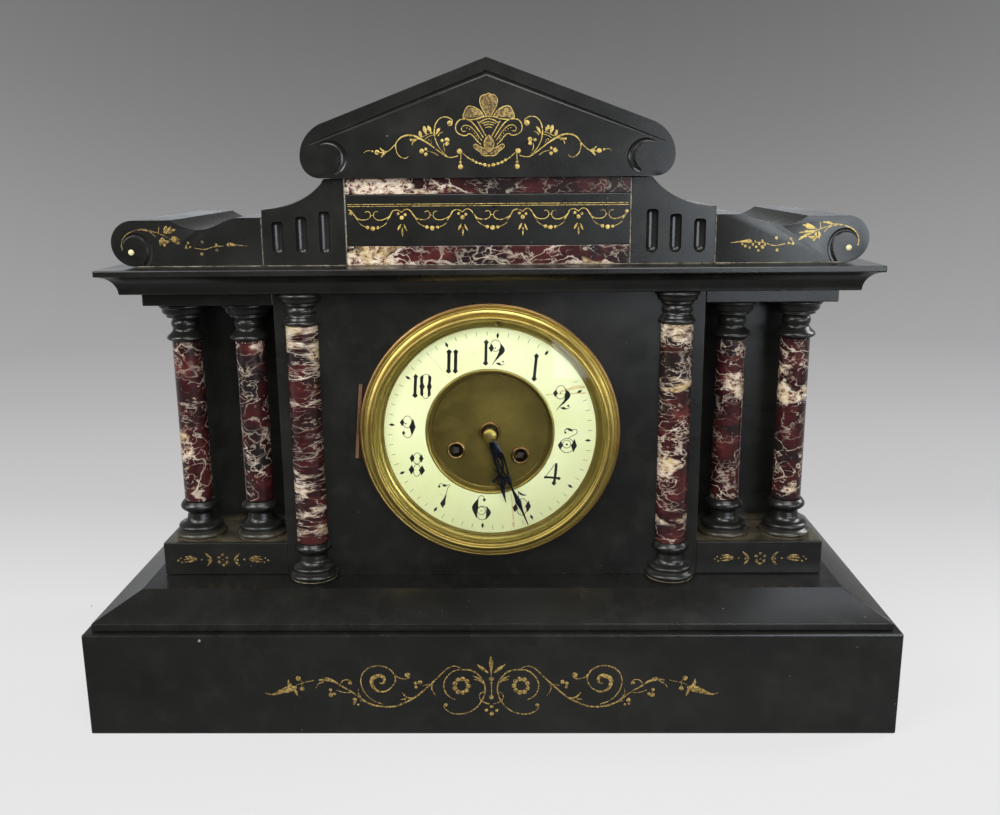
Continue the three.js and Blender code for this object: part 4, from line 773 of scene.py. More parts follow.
def knuckles(x, height, radius, *spans):
    """Hinge barrels along the dial's upright, between pairs of heights on it."""
    lay = Matrix.Rotation(-RIGHT_ANGLE, 4, "X")
    return [moved(turned([(0, a), (radius - 0.2, a), (radius, a + 0.2), (radius, b - 0.2),
                          (radius - 0.2, b), (0, b)], 24), at(x, 0, height) @ lay)
            for a, b in spans]


BED = 0.3
WINDING_PLACES = ((20.8, -13.9), (-20.8, -13.9))
HINGE_X, HINGE_RADIUS, HINGE_REACH, KNUCKLE = -84.2, 1.4, 24.5, 8.17
REGULATOR_Y = 70.9

surround = cut(dial_turned([
    (44, 0.3), (81, 0.3), (81, 1.5), (73.9, 1.5), (73.9, 6.9), (73.7, 7.2, 0.2), (73.1, 7.2),
    (72.6, 6.8, 0.1), (69.4, 4.6, -0.14), (69.2, 4.1), (68.9, 4.4, 0.3), (68.3, 4.0, 0.3),
    (68.1, 3.2), (68.1, 1.5), (44, 1.5), (44, 0.3)]),
    rod(0, REGULATOR_Y, 2.4, 2.0, 9), rod(0.2, 73.4, 1.0, 2.0, 9))
straps = [box(*sorted((side * 62, side * 63.8)), -4, 4, -141, 1.5) for side in (-1, 1)]
dial_feet = [rod(46 * math.cos(math.radians(a)), 46 * math.sin(math.radians(a)), 1.5, -9.7, 1.5)
             for a in (45, 135, 225, 315)]
fixed_leaf = box(HINGE_X, -77, -KNUCKLE + BED, KNUCKLE - BED, 0.3, 1.5)
piece("turned_dial_surround", joined(
    surround, *straps, *dial_feet, fixed_leaf,
    *knuckles(HINGE_X, BED + HINGE_RADIUS, HINGE_RADIUS, (-KNUCKLE + BED, KNUCKLE - BED)),
    *knuckles(HINGE_X, BED + HINGE_RADIUS, 0.5, (-HINGE_REACH, HINGE_REACH))),
    BRASS, "dial_surround", OUT_OF_DIAL)

piece("turned_chapter_ring", dial_turned([
    (41.4, 1.8), (67.9, 1.8), (67.9, 3.1), (67.5, 3.5, 0.2), (41.8, 3.5), (41.4, 3.2, 0.2),
    (41.4, 1.8)]), ENAMEL, "chapter_ring", OUT_OF_DIAL)


def dial_centre():
    """Dished brass disc with three holes for the eyelets."""
    disc = dial_turned([
        (0, 0.3), (43.7, 0.3), (43.7, 1.2), (38.6, 1.2), (37.6, 1.0), (37.2, 1.4, 0.3), (36.8, 1.1),
        (20, 1.0), (0, 1.3)])
    holes = [rod(x, y, 4.3, -1, 4) for x, y in WINDING_PLACES] + [rod(0, 0, 5, -1, 4)]
    return cut(disc, *holes)


piece("dished_dial_centre", dial_centre(), DULL_BRASS, "dial_centre", OUT_OF_DIAL)
piece("brass_eyelets", joined(*[moved(turned([
    (hole, 0.4), (hole + width, 0.4), (hole + width, 1.6), (hole + width * 0.5, 3.1, 0.25),
    (hole, 1.8, 0.25), (hole, 0.4)], 48), at(x, y, 0))
    for x, y, hole, width in ((*WINDING_PLACES[0], 4.3, 1.5), (*WINDING_PLACES[1], 4.3, 1.5),
                              (0, 0, 4.9, 1.9))]),
    EYELET_BRASS, "dial_centre", OUT_OF_DIAL, added=True)
piece("bright_rim_of_centre", dial_turned([
    (39.5, 1.3), (41.2, 1.3), (41.2, 3.1), (40.4, 3.9, 0.3), (39.5, 2.9, 0.25), (39.5, 1.3)]),
    BRASS, "dial_centre", OUT_OF_DIAL, added=True)

BEZEL_STEPS = [
    (74.4, 1.8), (82.8, 1.8), (83, 2.2), (83, 4.6), (82.6, 5.7, 0.25), (81.5, 6.0, 0.3),
    (81.1, 5.3), (80.8, 5.3), (80.4, 6.2), (79.7, 6.6, 0.25), (79.0, 6.5), (76.1, 11.2, -0.16),
    (75.9, 11.9), (75.2, 12.5, 0.3), (74.3, 12.2, 0.25), (73.9, 11.6), (73.5, 11.8, 0.2),
    (73, 11.2, 0.25), (73, 9.2), (74.4, 9.2), (74.4, 1.8),
]
bezel_spans = ((-HINGE_REACH, -KNUCKLE), (KNUCKLE, HINGE_REACH))
door_leaves = [box(HINGE_X, -78.7, a, b, 1.8, 2.6) for a, b in bezel_spans]
piece("turned_bezel", dial_turned(BEZEL_STEPS, 160), BRASS, "bezel_ring", OUT_OF_DIAL)
# The hinge leaves are painted dark as shade beside the bezel.
piece("bezel_hinge_leaves", joined(*door_leaves), LEAF_IN_PAINTED_SHADE, "bezel_ring", OUT_OF_DIAL,
      added=True)
piece("bezel_hinge_barrels", joined(*knuckles(
    HINGE_X, BED + HINGE_RADIUS, HINGE_RADIUS, *bezel_spans)),
    HINGE_BRONZE, "bezel_ring", OUT_OF_DIAL, added=True)
piece("domed_bezel_glass", dial_turned([
    (0, 14.7), (73.7, 10, -0.032), (73.7, 11.1), (0, 16, 0.033)]),
    GLASS, "bezel_glass", OUT_OF_DIAL)

HOUR_HAND_LINES = (
    ((0, 3, 1.5), (0.3, 7, 1.3), (-0.6, 10.5, 2.3), (-1.1, 14, 2.4), (-1.3, 16.4, 1.2)),
    ((-2.8, 9.4, 0.3), (0, 7.9, 0.8), (2.6, 9, 0.3)),
    ((0.3, 14, 1.2), (0.8, 18, 0.75), (0.3, 22.4, 0.8), (-0.2, 27.7, 0.5)),
    ((-2.5, 14, 1.1), (-3.6, 18, 0.6), (-3.4, 22.7, 0.6), (-1.3, 27.9, 0.5)),
    ((2.4, 22.8, 0.2), (1.1, 25.4, 0.5), (-0.2, 28, 0.5)),
    ((2.2, 29.4, 0.6), (0, 28.4, 0.9), (-2.6, 30, 0.6)),
    ((0.8, 29.2, 0.5), (3.2, 29.9, 0.5), (5, 31.6, 1.0)),
    ((-2.4, 29.8, 0.5), (-4.3, 32, 0.6), (-4.9, 35, 1.0)),
    ((1.7, 29.6, 0.45), (1.9, 33, 0.45), (0.4, 35.6, 0.5)),
    ((-1.7, 30, 0.45), (-2.5, 33.8, 0.5), (-0.8, 35.8, 0.5)),
    ((-0.2, 28, 0.7), (-0.5, 32, 0.8), (-0.2, 35.6, 1.4), (0, 39, 1.0), (0, 43, 0.5),
     (0, 46.8, 0.2)),
)
MINUTE_HAND_LINES = (
    ((0, 3, 1.6), (-0.3, 7, 1.5), (-0.9, 11, 1.8), (-1.9, 14.5, 1.1)),
    ((-1.9, 13, 1.1), (-2.4, 17, 0.6), (-2, 22, 0.5), (-0.8, 29.5, 0.5)),
    ((0.4, 11, 1.1), (1.5, 16, 0.6), (1.7, 22, 0.5), (0.7, 29.5, 0.5)),
    ((0, 28.6, 0.9), (0.2, 30.4, 1.6), (0.3, 33, 1.4), (0.3, 35.6, 0.6), (0.3, 40, 0.6),
     (0.1, 44, 1.0), (0, 47.7, 1.6), (0, 51, 1.0), (0, 55, 0.55), (0, 64.8, 0.25)),
)


def hand(lines, collar, bore, height, degrees):
    """Hand sawn from thin plate, drawn pointing up and turned clockwise by degrees."""
    half_thickness = 0.4
    boss = turned([(bore, -half_thickness), (collar, -half_thickness), (collar, 0.2),
                   (collar - 0.3, half_thickness, 0.2), (bore, half_thickness),
                   (bore, -half_thickness)], 48)
    turn = Matrix.Rotation(-math.radians(degrees), 4, "Z")
    bold = [[(x, y, r * 1.2) for x, y, r in row] for row in lines]
    return moved(joined(wires(bold, 1, limit=half_thickness), boss), at(0, 0, height) @ turn)


piece("pierced_hour_hand", hand(HOUR_HAND_LINES, 4.5, 2.9, 7.4, 162.75), BLUED,
      "hour_hand", OUT_OF_DIAL)
piece("pierced_minute_hand", hand(MINUTE_HAND_LINES, 4.6, 1.2, 9.9, 153), BLUED,
      "minute_hand", OUT_OF_DIAL)
nut = turned([(0, 10.6), (4.4, 10.6), (4.4, 12), (3.9, 12.7, 0.2), (0, 13.4, 0.1)], 48)
slot_cutter = moved(box(-6, 6, -0.6, 0.6, 11.9, 15), Matrix.Rotation(math.radians(-14), 4, "Z"))
piece("slotted_hand_nut", cut(nut, slot_cutter), BRASS, "hand_nut",
      OUT_OF_DIAL)


# Numerals, minute lines and old repairs of the dial. Places are millimetres from its centre.

def oval(x, y, half_width, half_height, line_width=0.17):
    """Hair line closed on itself."""
    corners = 12
    return [(x + half_width * math.cos(math.tau * i / corners),
             y + half_height * math.sin(math.tau * i / corners), line_width)
            for i in range(corners + 1)]


def lozenge(x, y, half_width, half_height):
    """Upright line that swells to a diamond."""
    return [(x, y + half_height * rise, max(0.1, half_width * (1 - abs(rise))))
            for rise in (-1, -0.5, 0, 0.5, 1)]


NUMERALS = {
    "twelve": [
        [(-6.8, 59.9, 0.12), (-6.8, 58.3, 1.45), (-6.8, 56.9, 0.81), (-6.2, 46, 0.81),
         (-6.2, 44.6, 1.57), (-6.1, 43.3, 0.12)], oval(-0.8, 56.5, 3.19, 3.6),
        lozenge(-3.3, 54.7, 1.57, 2.61),
        [(2.3, 57.9, 0.17), (3.4, 54.1, 1.74), (1.7, 50.3, 0.81), (-0.5, 46.7, 0.29),
         (-2.1, 43.8, 0.12)], (-0.8, 54.9, 0.46),
        [(0.4, 45.3, 0.17), (2.1, 45.1, 0.81), (3.9, 44.4, 0.17), (5.7, 45.6, 0.12)],
        (4.6, 46.7, 0.58),
    ],
    "one": [
        [(25.2, 53.7, 0.12), (25.3, 52, 1.45), (25.3, 50.6, 0.81), (25.1, 38.6, 0.87),
         (25.1, 37.2, 1.57), (25.1, 35.6, 0.12)],
    ],
    "two": [
        oval(42.6, 30, 3.19, 4.35), lozenge(39.4, 29.1, 1.45, 2.44),
        [(45.4, 32.6, 0.17), (47.1, 28.7, 1.74), (45.8, 24.6, 0.7), (43.1, 21.2, 0.29),
         (40.9, 18.3, 0.12)], (42.5, 29.5, 0.46),
        [(43.4, 19.9, 0.17), (45.5, 19.8, 0.81), (47.6, 19.6, 0.17), (49.6, 21, 0.12)],
        (48.2, 21.6, 0.7),
    ],
    "three": [
        [(47.2, 4.7, 0.17), (48.5, 6.5, 0.29), (50.8, 6.1, 0.81), (52.8, 5.2, 0.17)], (48, 4, 0.7),
        [(50.8, 6.1, 0.17), (55.4, 5.9, 0.17), (50.4, 0.5, 0.17)], oval(49.8, -4.5, 4.52, 4.76),
        lozenge(45.7, -4.7, 1.57, 2.9), lozenge(54.3, -4.2, 1.74, 4.35),
        oval(49.6, -3.5, 2.61, 2.61), (49.7, -3.8, 0.7),
    ],
    "four": [
        [(44.1, -16.7, 0.58), (44.2, -18.6, 0.81), (44, -28.8, 0.75), (43.8, -30.5, 1.28),
         (43.9, -31.9, 0.17)],
        [(37.2, -26.9, 0.81), (38.8, -26.7, 0.64), (45.6, -26.7, 0.64), (46.9, -26.8, 1.04),
         (47.9, -26.7, 0.17)], [(43.1, -17.8, 0.17), (38, -26.4, 0.17)],
    ],
    "five": [
        [(21.3, -37.7, 0.17), (22.9, -39.2, 0.64), (24.8, -39.9, 0.46), (26.7, -39.7, 0.17)],
        [(21.4, -38.1, 0.17), (22.1, -42.5, 0.17)], oval(24.6, -48.1, 3.48, 5.68),
        lozenge(20.3, -49.2, 1.62, 2.9), lozenge(28.5, -47.4, 1.68, 3.94),
    ],
    "six": [
        [(-4.6, -46.3, 0.17), (-3.4, -43.2, 0.17), (-2, -42.6, 0.17), (-0.4, -43.8, 0.17)],
        lozenge(-0.2, -45.3, 1.04, 1.33),
        [(-4.1, -44.6, 0.17), (-5.7, -51, 1.97), (-4.3, -58.1, 0.17)], oval(-0.8, -54.4, 3.6, 4.76),
        [(1.7, -49.7, 0.17), (3.1, -53.8, 1.51), (1.8, -58.6, 0.17)], oval(-1.5, -52.9, 2.61, 2.61),
        (-1.5, -52.8, 0.41),
    ],
    "seven": [
        (-30, -38.7, 0.81), lozenge(-26.6, -37.7, 1.62, 0.99),
        [(-30.4, -37.9, 0.17), (-29.1, -36.6, 0.17), (-26.6, -37.7, 0.17), (-23, -37.3, 0.17),
         (-24, -38.3, 0.17), (-25.2, -43.6, 0.17)],
        [(-25.2, -43.6, 0.23), (-26, -47.2, 0.7), (-26.9, -50.3, 1.57), (-26.9, -53, 0.12)],
    ],
    "eight": [
        oval(-45.5, -21, 2.32, 3.71), oval(-45.1, -29, 2.32, 4.06),
        lozenge(-48.7, -21.1, 1.51, 2.78), lozenge(-42.8, -20.9, 1.39, 2.78),
        lozenge(-48.6, -28.9, 1.74, 3.19), lozenge(-41.9, -28.8, 1.86, 3.31),
    ],
    "nine": [
        oval(-53.2, 2.7, 2.78, 3.94), lozenge(-56.4, 2, 1.45, 2.32),
        lozenge(-49.7, -0.4, 1.86, 5.51), (-54.1, 1.5, 0.52),
        [(-49.6, -3.9, 0.17), (-50.3, -6.4, 0.17), (-52.5, -7.8, 0.17), (-54.8, -6.4, 0.17)],
        lozenge(-55.1, -4.8, 1.04, 1.57),
    ],
    "ten": [
        [(-49.7, 34.3, 0.12), (-49.6, 32.8, 1.28), (-49.6, 31.4, 0.87), (-49.4, 21.7, 0.87),
         (-49.3, 20.2, 1.57), (-49.3, 18.7, 0.12)],
        [(-44.8, 34.1, 0.12), (-45.6, 32.5, 0.93), (-45.5, 28.5, 0.81), (-45.2, 26.6, 1.51),
         (-45.2, 24.6, 0.81), (-45, 21.5, 0.93), (-44.6, 20.3, 0.35)],
        [(-41.8, 34.4, 0.12), (-40.8, 33, 0.93), (-40.7, 29, 0.75), (-40.6, 26.7, 1.39),
         (-40.6, 24.7, 0.75), (-40.4, 21.6, 0.87), (-40.8, 20.3, 0.29)],
        [(-45.2, 33.5, 0.17), (-43, 34.8, 0.17), (-40.7, 33.4, 0.17)],
        [(-44.6, 20.3, 0.17), (-42.3, 18.8, 0.17), (-40.5, 20.7, 0.17)],
    ],
    "eleven": [
        [(-29.7, 51.8, 0.12), (-29.6, 50.3, 1.57), (-29.6, 48.9, 0.93), (-29.1, 39.1, 0.93),
         (-29.1, 37.6, 1.57), (-29, 36.2, 0.12)],
        [(-25.5, 52.2, 0.12), (-25.4, 50.7, 1.45), (-25.4, 49.3, 0.93), (-24.9, 39.5, 0.93),
         (-24.9, 38, 1.51), (-24.9, 36.6, 0.12)],
    ],
}
RING_FACE = 3.5
MARK_RISE, MARK_LIFT = 0.1, 0.01


def on_ring(name, rows, dots, finish, rise=MARK_RISE):
    """Lines and dots laid on the face of the chapter ring."""
    piece(name, wires(rows, rise, dots), finish, "chapter_ring",
          OUT_OF_DIAL @ at(0, 0, RING_FACE + MARK_LIFT), added=True)


marks = [[(x, y, r * 1.12) for x, y, r in mark] if isinstance(mark, list) else mark
         for numeral in NUMERALS.values() for mark in numeral]
hour_points, minute_lines = [], []
for minute in range(60):
    bearing = math.tau * minute / 60
    x, y = math.sin(bearing), math.cos(bearing)
    if minute % 5:
        minute_lines.append([(r * x, r * y, 0.16) for r in (62.6, 64, 65.4)])
    else:
        hour_points.append([(r * x, r * y, w) for r, w in (
            (61.0, 0.1), (62.0, 0.55), (62.9, 0.95), (63.8, 0.55), (64.8, 0.1))])
on_ring("black_numerals", [m for m in marks if isinstance(m, list)] + hour_points,
        [m for m in marks if isinstance(m, tuple)], INK)
on_ring("minute_lines", minute_lines, (), TICK_INK)
on_ring("old_repairs", [
    [(41.9, 30.3, 0.4), (47, 32, 0.9), (52.5, 34.2, 1.2), (57.6, 34.6, 0.8)],
    [(33, 27.6, 0.3), (45, 29.2, 0.25), (58.2, 30.8, 0.5)],
    [(16.9, -40, 0.3), (18.8, -51, 0.4), (20.6, -62.4, 0.6)],
    [(-41.8, 46.5, 0.15), (-35, 40, 0.2), (-28, 33.4, 0.15)]], (), REPAIR, 0.05)


# Gilt ornament. Lines are (distance from the middle, height, half width) in millimetres.

BASE_LINES = (
    ((121.4, 32.6, 1.15), (125.8, 31.5, 3.36), (131.7, 29.6, 2.11), (136.7, 27.7, 0.77),
     (141.5, 28.7, 0.19)), ((122.4, 32.1, 0.77), (125.6, 34.2, 1.73), (126.3, 38.2, 0.29)),
    ((123.3, 32.1, 0.77), (122, 29.4, 1.34), (121, 26.5, 0.29)),
    ((121.6, 34.2, 0.38), (116.8, 35.8, 0.38), (110, 37.5, 0.38)),
    ((118.9, 37.4, 0.29), (116.8, 35.8, 0.29)), ((117.8, 33.2, 0.29), (118, 35.3, 0.29)),
    ((107.1, 37.5, 0.77), (102.3, 37.7, 1.15), (97.5, 36.5, 0.96), (92.9, 33.3, 0.77),
     (86.3, 29.1, 0.48), (80.8, 24.3, 0.48)),
    ((103.1, 39.4, 0.19), (100.3, 38.4, 0.86), (96.6, 36.5, 0.38)),
    ((109.3, 31.9, 0.19), (107.7, 34.8, 0.48), (104.3, 36.4, 0.48)),
    ((93.8, 34.4, 0.38), (92.2, 37, 0.38), (89.3, 37.8, 0.38), (87, 36.5, 0.38),
     (86.8, 34.6, 0.38)), ((96.4, 30.7, 0.29), (92.1, 29.1, 0.38), (87.3, 28.9, 0.29)),
    ((86.3, 29.1, 0.48), (80.3, 24.3, 0.67), (75.6, 21.2, 0.77), (68.4, 19.3, 0.77),
     (60.7, 19.3, 0.77), (53.9, 21.8, 0.77), (48, 25, 0.77), (43.1, 28.8, 0.77), (38.2, 33.5, 0.67),
     (33.3, 38.3, 0.58), (29.4, 42.5, 0.48), (25.1, 46.2, 0.48), (21.7, 47, 0.38),
     (17.9, 45.7, 0.29)),
    ((67.4, 20.9, 0.38), (73.1, 23.3, 0.43), (77.7, 27.6, 0.43), (80.4, 33.4, 0.48),
     (80.6, 38.7, 0.48), (78, 44, 0.58), (73.1, 46.8, 0.58), (67.4, 47.1, 0.58), (62.7, 45.1, 0.58),
     (59.8, 41.4, 0.58), (59.1, 37.2, 0.58), (60.7, 34, 0.58), (63.7, 30.8, 0.67),
     (67.6, 29.5, 0.77), (71.4, 30.8, 1.15), (73.6, 34, 1.73), (73.6, 38.2, 1.92),
     (71.5, 39.8, 1.92), (67.6, 40.3, 1.73), (66, 37.7, 1.34), (66.9, 35.6, 0.96),
     (68.8, 35.4, 0.58)),
    ((59.9, 41.7, 0.48), (57.2, 39.3, 0.48), (53.4, 38.3, 0.48), (50.7, 39.3, 0.48),
     (49.9, 41.4, 0.48)), ((48, 25.2, 0.38), (51.9, 25.5, 0.96), (55.1, 29, 0.29)),
    ((52.9, 24.3, 0.77), (56.2, 24.2, 0.29)), ((81.8, 23.3, 0.29), (77, 22.2, 0.29)),
    ((82.4, 31.8, 0.19), (82.7, 28.6, 0.38), (80.7, 24.9, 0.38)),
    ((42, 33.7, 0.29), (38.2, 34.6, 0.29)),
    ((35.8, 35.7, 0.58), (36.4, 31.4, 0.58), (33.8, 26.6, 0.19)),
    ((21.7, 24, 0.29), (25.5, 26.1, 0.48), (28.3, 30.4, 0.58), (28.6, 35.7, 0.58),
     (26.1, 40.4, 0.58), (21.8, 43.9, 0.67), (16.1, 44.6, 0.67), (10.4, 43.6, 0.67),
     (5.7, 39.4, 0.67), (3.1, 33.6, 0.67), (3.5, 27.2, 0.67), (5.9, 21.9, 0.58), (9.8, 17.4, 0.58),
     (15.1, 14.7, 0.58), (20.4, 14, 0.58), (25.2, 15.2, 0.58), (28.5, 18.1, 0.48),
     (29, 20.3, 0.38)), ((3.8, 34.6, 0.38), (6.7, 38.3, 0.86), (10.6, 40.4, 0.29)),
    ((5.7, 36.7, 0.38), (8.6, 37.8, 0.67), (10, 38, 0.29)),
    ((0.9, 42.5, 0.58), (4.2, 45.1, 1.73), (7.9, 48.3, 0.29)),
    ((3, 29.3, 0.38), (5.3, 28.8, 0.38), (6.6, 26.1, 0.38), (4.9, 22.9, 0.48), (0.4, 21, 0.58)),
)
BASE_DOTS = (
    (120, 38.7, 1.34), (117.9, 31.6, 1.25), (88, 35.5, 0.77), (100.2, 30.8, 0.96),
    (99.9, 27.4, 1.25), (97.7, 28, 0.77), (51.4, 40.9, 1.44), (85.1, 23.8, 1.15),
    (85.5, 21.4, 0.77), (82.9, 20.6, 0.67), (43.7, 36.2, 1.15), (46.3, 35.4, 0.96),
    (46.1, 32.7, 0.86), (27.8, 20.3, 0.96), (2.3, 16.5, 0.86), (13.4, 33.6, 1.25),
    (14.4, 30.5, 1.25), (17, 28.9, 1.25), (19.9, 29.4, 1.25), (21.8, 31.9, 1.25),
    (21.7, 35.2, 1.25), (19.8, 37.7, 1.25), (16.9, 38.2, 1.25), (14.3, 36.6, 1.25),
)
BASE_MIDDLE_LINES = (
    ((0.1, 42.5, 0.58), (0.1, 49.3, 2.11), (-0, 53.7, 0.29)),
    ((0.1, 42.5, 0.38), (0.3, 25.6, 0.38)),
)
BASE_MIDDLE_DOTS = (
    (0.2, 38.3, 1.15), (0.2, 35.5, 0.58), (0.1, 25.6, 1.15), (0.2, 19, 0.86), (0.1, 14.2, 1.06),
)
PEDIMENT_LINES = (
    ((75, 14.9, 0.11), (72.8, 16.1, 0.21), (70.1, 15.8, 0.21)),
    ((65.2, 17.7, 0.21), (63.6, 16.1, 0.74), (61, 15.3, 0.26)),
    ((64.6, 12.2, 0.21), (63.2, 14, 0.74), (61.5, 15, 0.26)),
    ((65.6, 15, 0.26), (62.6, 14.9, 0.53)),
    ((61, 15.3, 0.26), (58.2, 17.4, 0.26), (55.7, 20, 0.26)),
    ((48.1, 12.8, 0.16), (49.5, 11.6, 0.21), (51.9, 11.8, 0.24), (54.3, 13.6, 0.26),
     (55.5, 16.8, 0.26), (55.5, 19.9, 0.32), (53.5, 22.8, 0.42), (50.5, 24.5, 0.53),
     (46.8, 24.9, 0.58), (43, 24, 0.64), (39.9, 22.4, 0.64), (36.1, 20.2, 0.48), (31.9, 17.1, 0.37),
     (28.2, 14.4, 0.32), (25, 12.3, 0.32), (22.4, 11.8, 0.26), (18.1, 12.7, 0.26)),
    ((46.9, 22.2, 0.85), (45.2, 22.2, 0.53), (41.4, 22.9, 0.32)),
    ((45.8, 19, 0.16), (45.2, 20.9, 0.37), (43.1, 21.9, 0.32)),
    ((39.8, 23.7, 0.32), (40.6, 25.5, 1.38), (40.9, 27.3, 0.53)),
    ((37.1, 25.5, 0.32), (37.9, 28.1, 1.48), (38.3, 30.2, 0.53)),
    ((34.1, 26.2, 0.32), (35.2, 28.6, 1.48), (35.9, 30.2, 0.64)),
    ((39.3, 23.7, 0.21), (36, 25.5, 0.21), (33.1, 26.2, 0.21)),
    ((38, 22.4, 0.21), (35.5, 24.2, 0.21), (32.6, 24.9, 0.21)),
    ((36.1, 21.6, 0.16), (35.3, 22.6, 0.16)), ((35.1, 20.8, 0.16), (34.2, 22.1, 0.16)),
    ((34.3, 19.7, 0.16), (33.7, 21, 0.16)),
    ((25, 12.8, 0.21), (28.2, 16, 0.21), (30.8, 20.2, 0.32), (32, 24.4, 0.48), (32, 28.6, 0.42),
     (30.8, 32.2, 0.32), (28.4, 34.7, 0.26), (25.2, 35.3, 0.26), (22.5, 34.4, 0.26),
     (21.2, 33.1, 0.26), (21.8, 31.8, 0.26)),
    ((31, 25.4, 0.32), (29.8, 27.7, 1.06), (28.5, 29.3, 0.32)),
    ((29.9, 24.4, 0.32), (29.1, 25.7, 0.37), (26.9, 26.7, 0.11)),
    ((26.5, 20.1, 0.21), (26.7, 18.1, 0.21), (26, 15.4, 0.16)),
    ((36.5, 15.6, 0.16), (33, 14.7, 0.21), (30.1, 12.9, 0.16)),
    ((16.4, 13.8, 0.21), (16.6, 10.1, 0.21)),
    ((15.4, 14.3, 0.21), (12.2, 11.6, 0.26), (7.9, 9.2, 0.32), (3.6, 7.6, 0.32), (0.2, 6.9, 0.32)),
)
PEDIMENT_DOTS = (
    (69.8, 15.7, 0.64), (67, 15.1, 1.48), (22.7, 31.6, 1.59), (24.6, 22, 1.38), (27.6, 21.7, 0.95),
    (24.6, 19.7, 1.17), (40, 15.6, 1.43), (37.5, 16.8, 0.85), (37.5, 13.7, 1.06),
    (17.2, 15.3, 1.59), (16.7, 8.8, 0.85), (16.7, 6.2, 1.48), (12.2, 11.6, 0.48), (9.5, 10, 0.85),
    (7.3, 8.8, 0.85), (4.7, 7.9, 0.85), (2, 7.3, 1.06),
)
BASKET_LINES = (
    ((1.4, 35.9, 0.25), (3.9, 40.2, 0.28), (5.2, 43.7, 0.28), (4.9, 46.1, 0.28), (3.5, 47.6, 0.28),
     (1.8, 47.9, 0.28), (0, 48.8, 0.28)),
    ((2.7, 35.3, 0.22), (4.7, 38.3, 0.28), (6.8, 39.9, 0.28), (9.8, 41.2, 0.28), (12.3, 41.2, 0.28),
     (13.8, 39.7, 0.28), (14.8, 37.3, 0.28), (15.3, 35.3, 0.28), (13.3, 33.9, 0.28),
     (7.8, 34, 0.28), (2.7, 35.3, 0.22)),
    ((3.2, 23, 0.24), (5.8, 26.9, 0.3), (8.8, 30.9, 0.3), (11.8, 33.3, 0.3), (15.4, 34, 0.3),
     (18.4, 32.8, 0.3), (19.9, 29.9, 0.3), (19.4, 26.9, 0.3), (16.9, 25, 0.3), (13.8, 24.5, 0.3),
     (11.8, 25.5, 0.3), (9.8, 24.5, 0.3), (7.3, 21.5, 0.3), (4.7, 19.1, 0.24)),
    ((4.2, 21.5, 0.2), (5.8, 23.5, 0.24), (8.3, 27, 0.24), (10.8, 29.4, 0.24), (13.3, 30.4, 0.24),
     (15.5, 29.9, 0.24), (16.4, 28.4, 0.24), (15.6, 26.9, 0.24), (13.8, 27.2, 0.2)),
    ((0, 35.6, 0.28), (4, 35.2, 0.28), (7.3, 33.8, 0.24)),
    ((0, 34.3, 0.28), (3, 33.4, 0.28), (5.8, 31.7, 0.24)),
    ((0, 32.4, 0.22), (2.2, 32, 0.22), (4.2, 31.4, 0.2)),
    ((0, 31, 0.22), (1.6, 30.7, 0.22), (3, 30.4, 0.2)),
    ((0, 29.5, 0.22), (1, 29.3, 0.22), (2, 28.9, 0.2)),
    ((6.8, 32.8, 0.22), (4, 28, 0.24), (1.7, 24, 0.22)),
    ((0, 24.6, 0.24), (2.3, 21.9, 0.28), (2.9, 18.6, 0.28), (1.4, 15.8, 0.26), (0, 14.8, 0.24)),
    ((0, 12.7, 0.26), (3.2, 12.7, 0.28), (5.8, 15.1, 0.28), (9.1, 18.9, 0.24), (5.3, 18, 0.26),
     (2.8, 16.6, 0.24)),
)
BASKET_DOTS = (
    (6.5, 22.7, 0.3), (7.6, 24.2, 0.3), (8.8, 25.7, 0.3), (10.1, 27.1, 0.3), (11.6, 28.2, 0.3),
    (13.2, 28.8, 0.3),
)
BASKET_FILLS = (
    ((0, 36.3, 1), (0, 39.7, 3.1), (0, 43.2, 4.6), (0, 45.8, 4.4), (0, 47.4, 2.6), (0, 48.3, 0.8)),
    ((2.9, 35.2, 0.5), (6, 36.5, 1.8), (9, 37.6, 2.9), (12, 37.2, 2.9), (14.6, 35.3, 1.2)),
    ((0, 24.3, 0.3), (0, 21.5, 2.1), (0, 18.5, 2.7), (0, 16, 1.4), (0, 15, 0.3)),
    ((0.6, 13.6, 0.7), (3.2, 14.4, 1.5), (5.6, 16.6, 1.2), (8.7, 18.6, 0.3)),
)
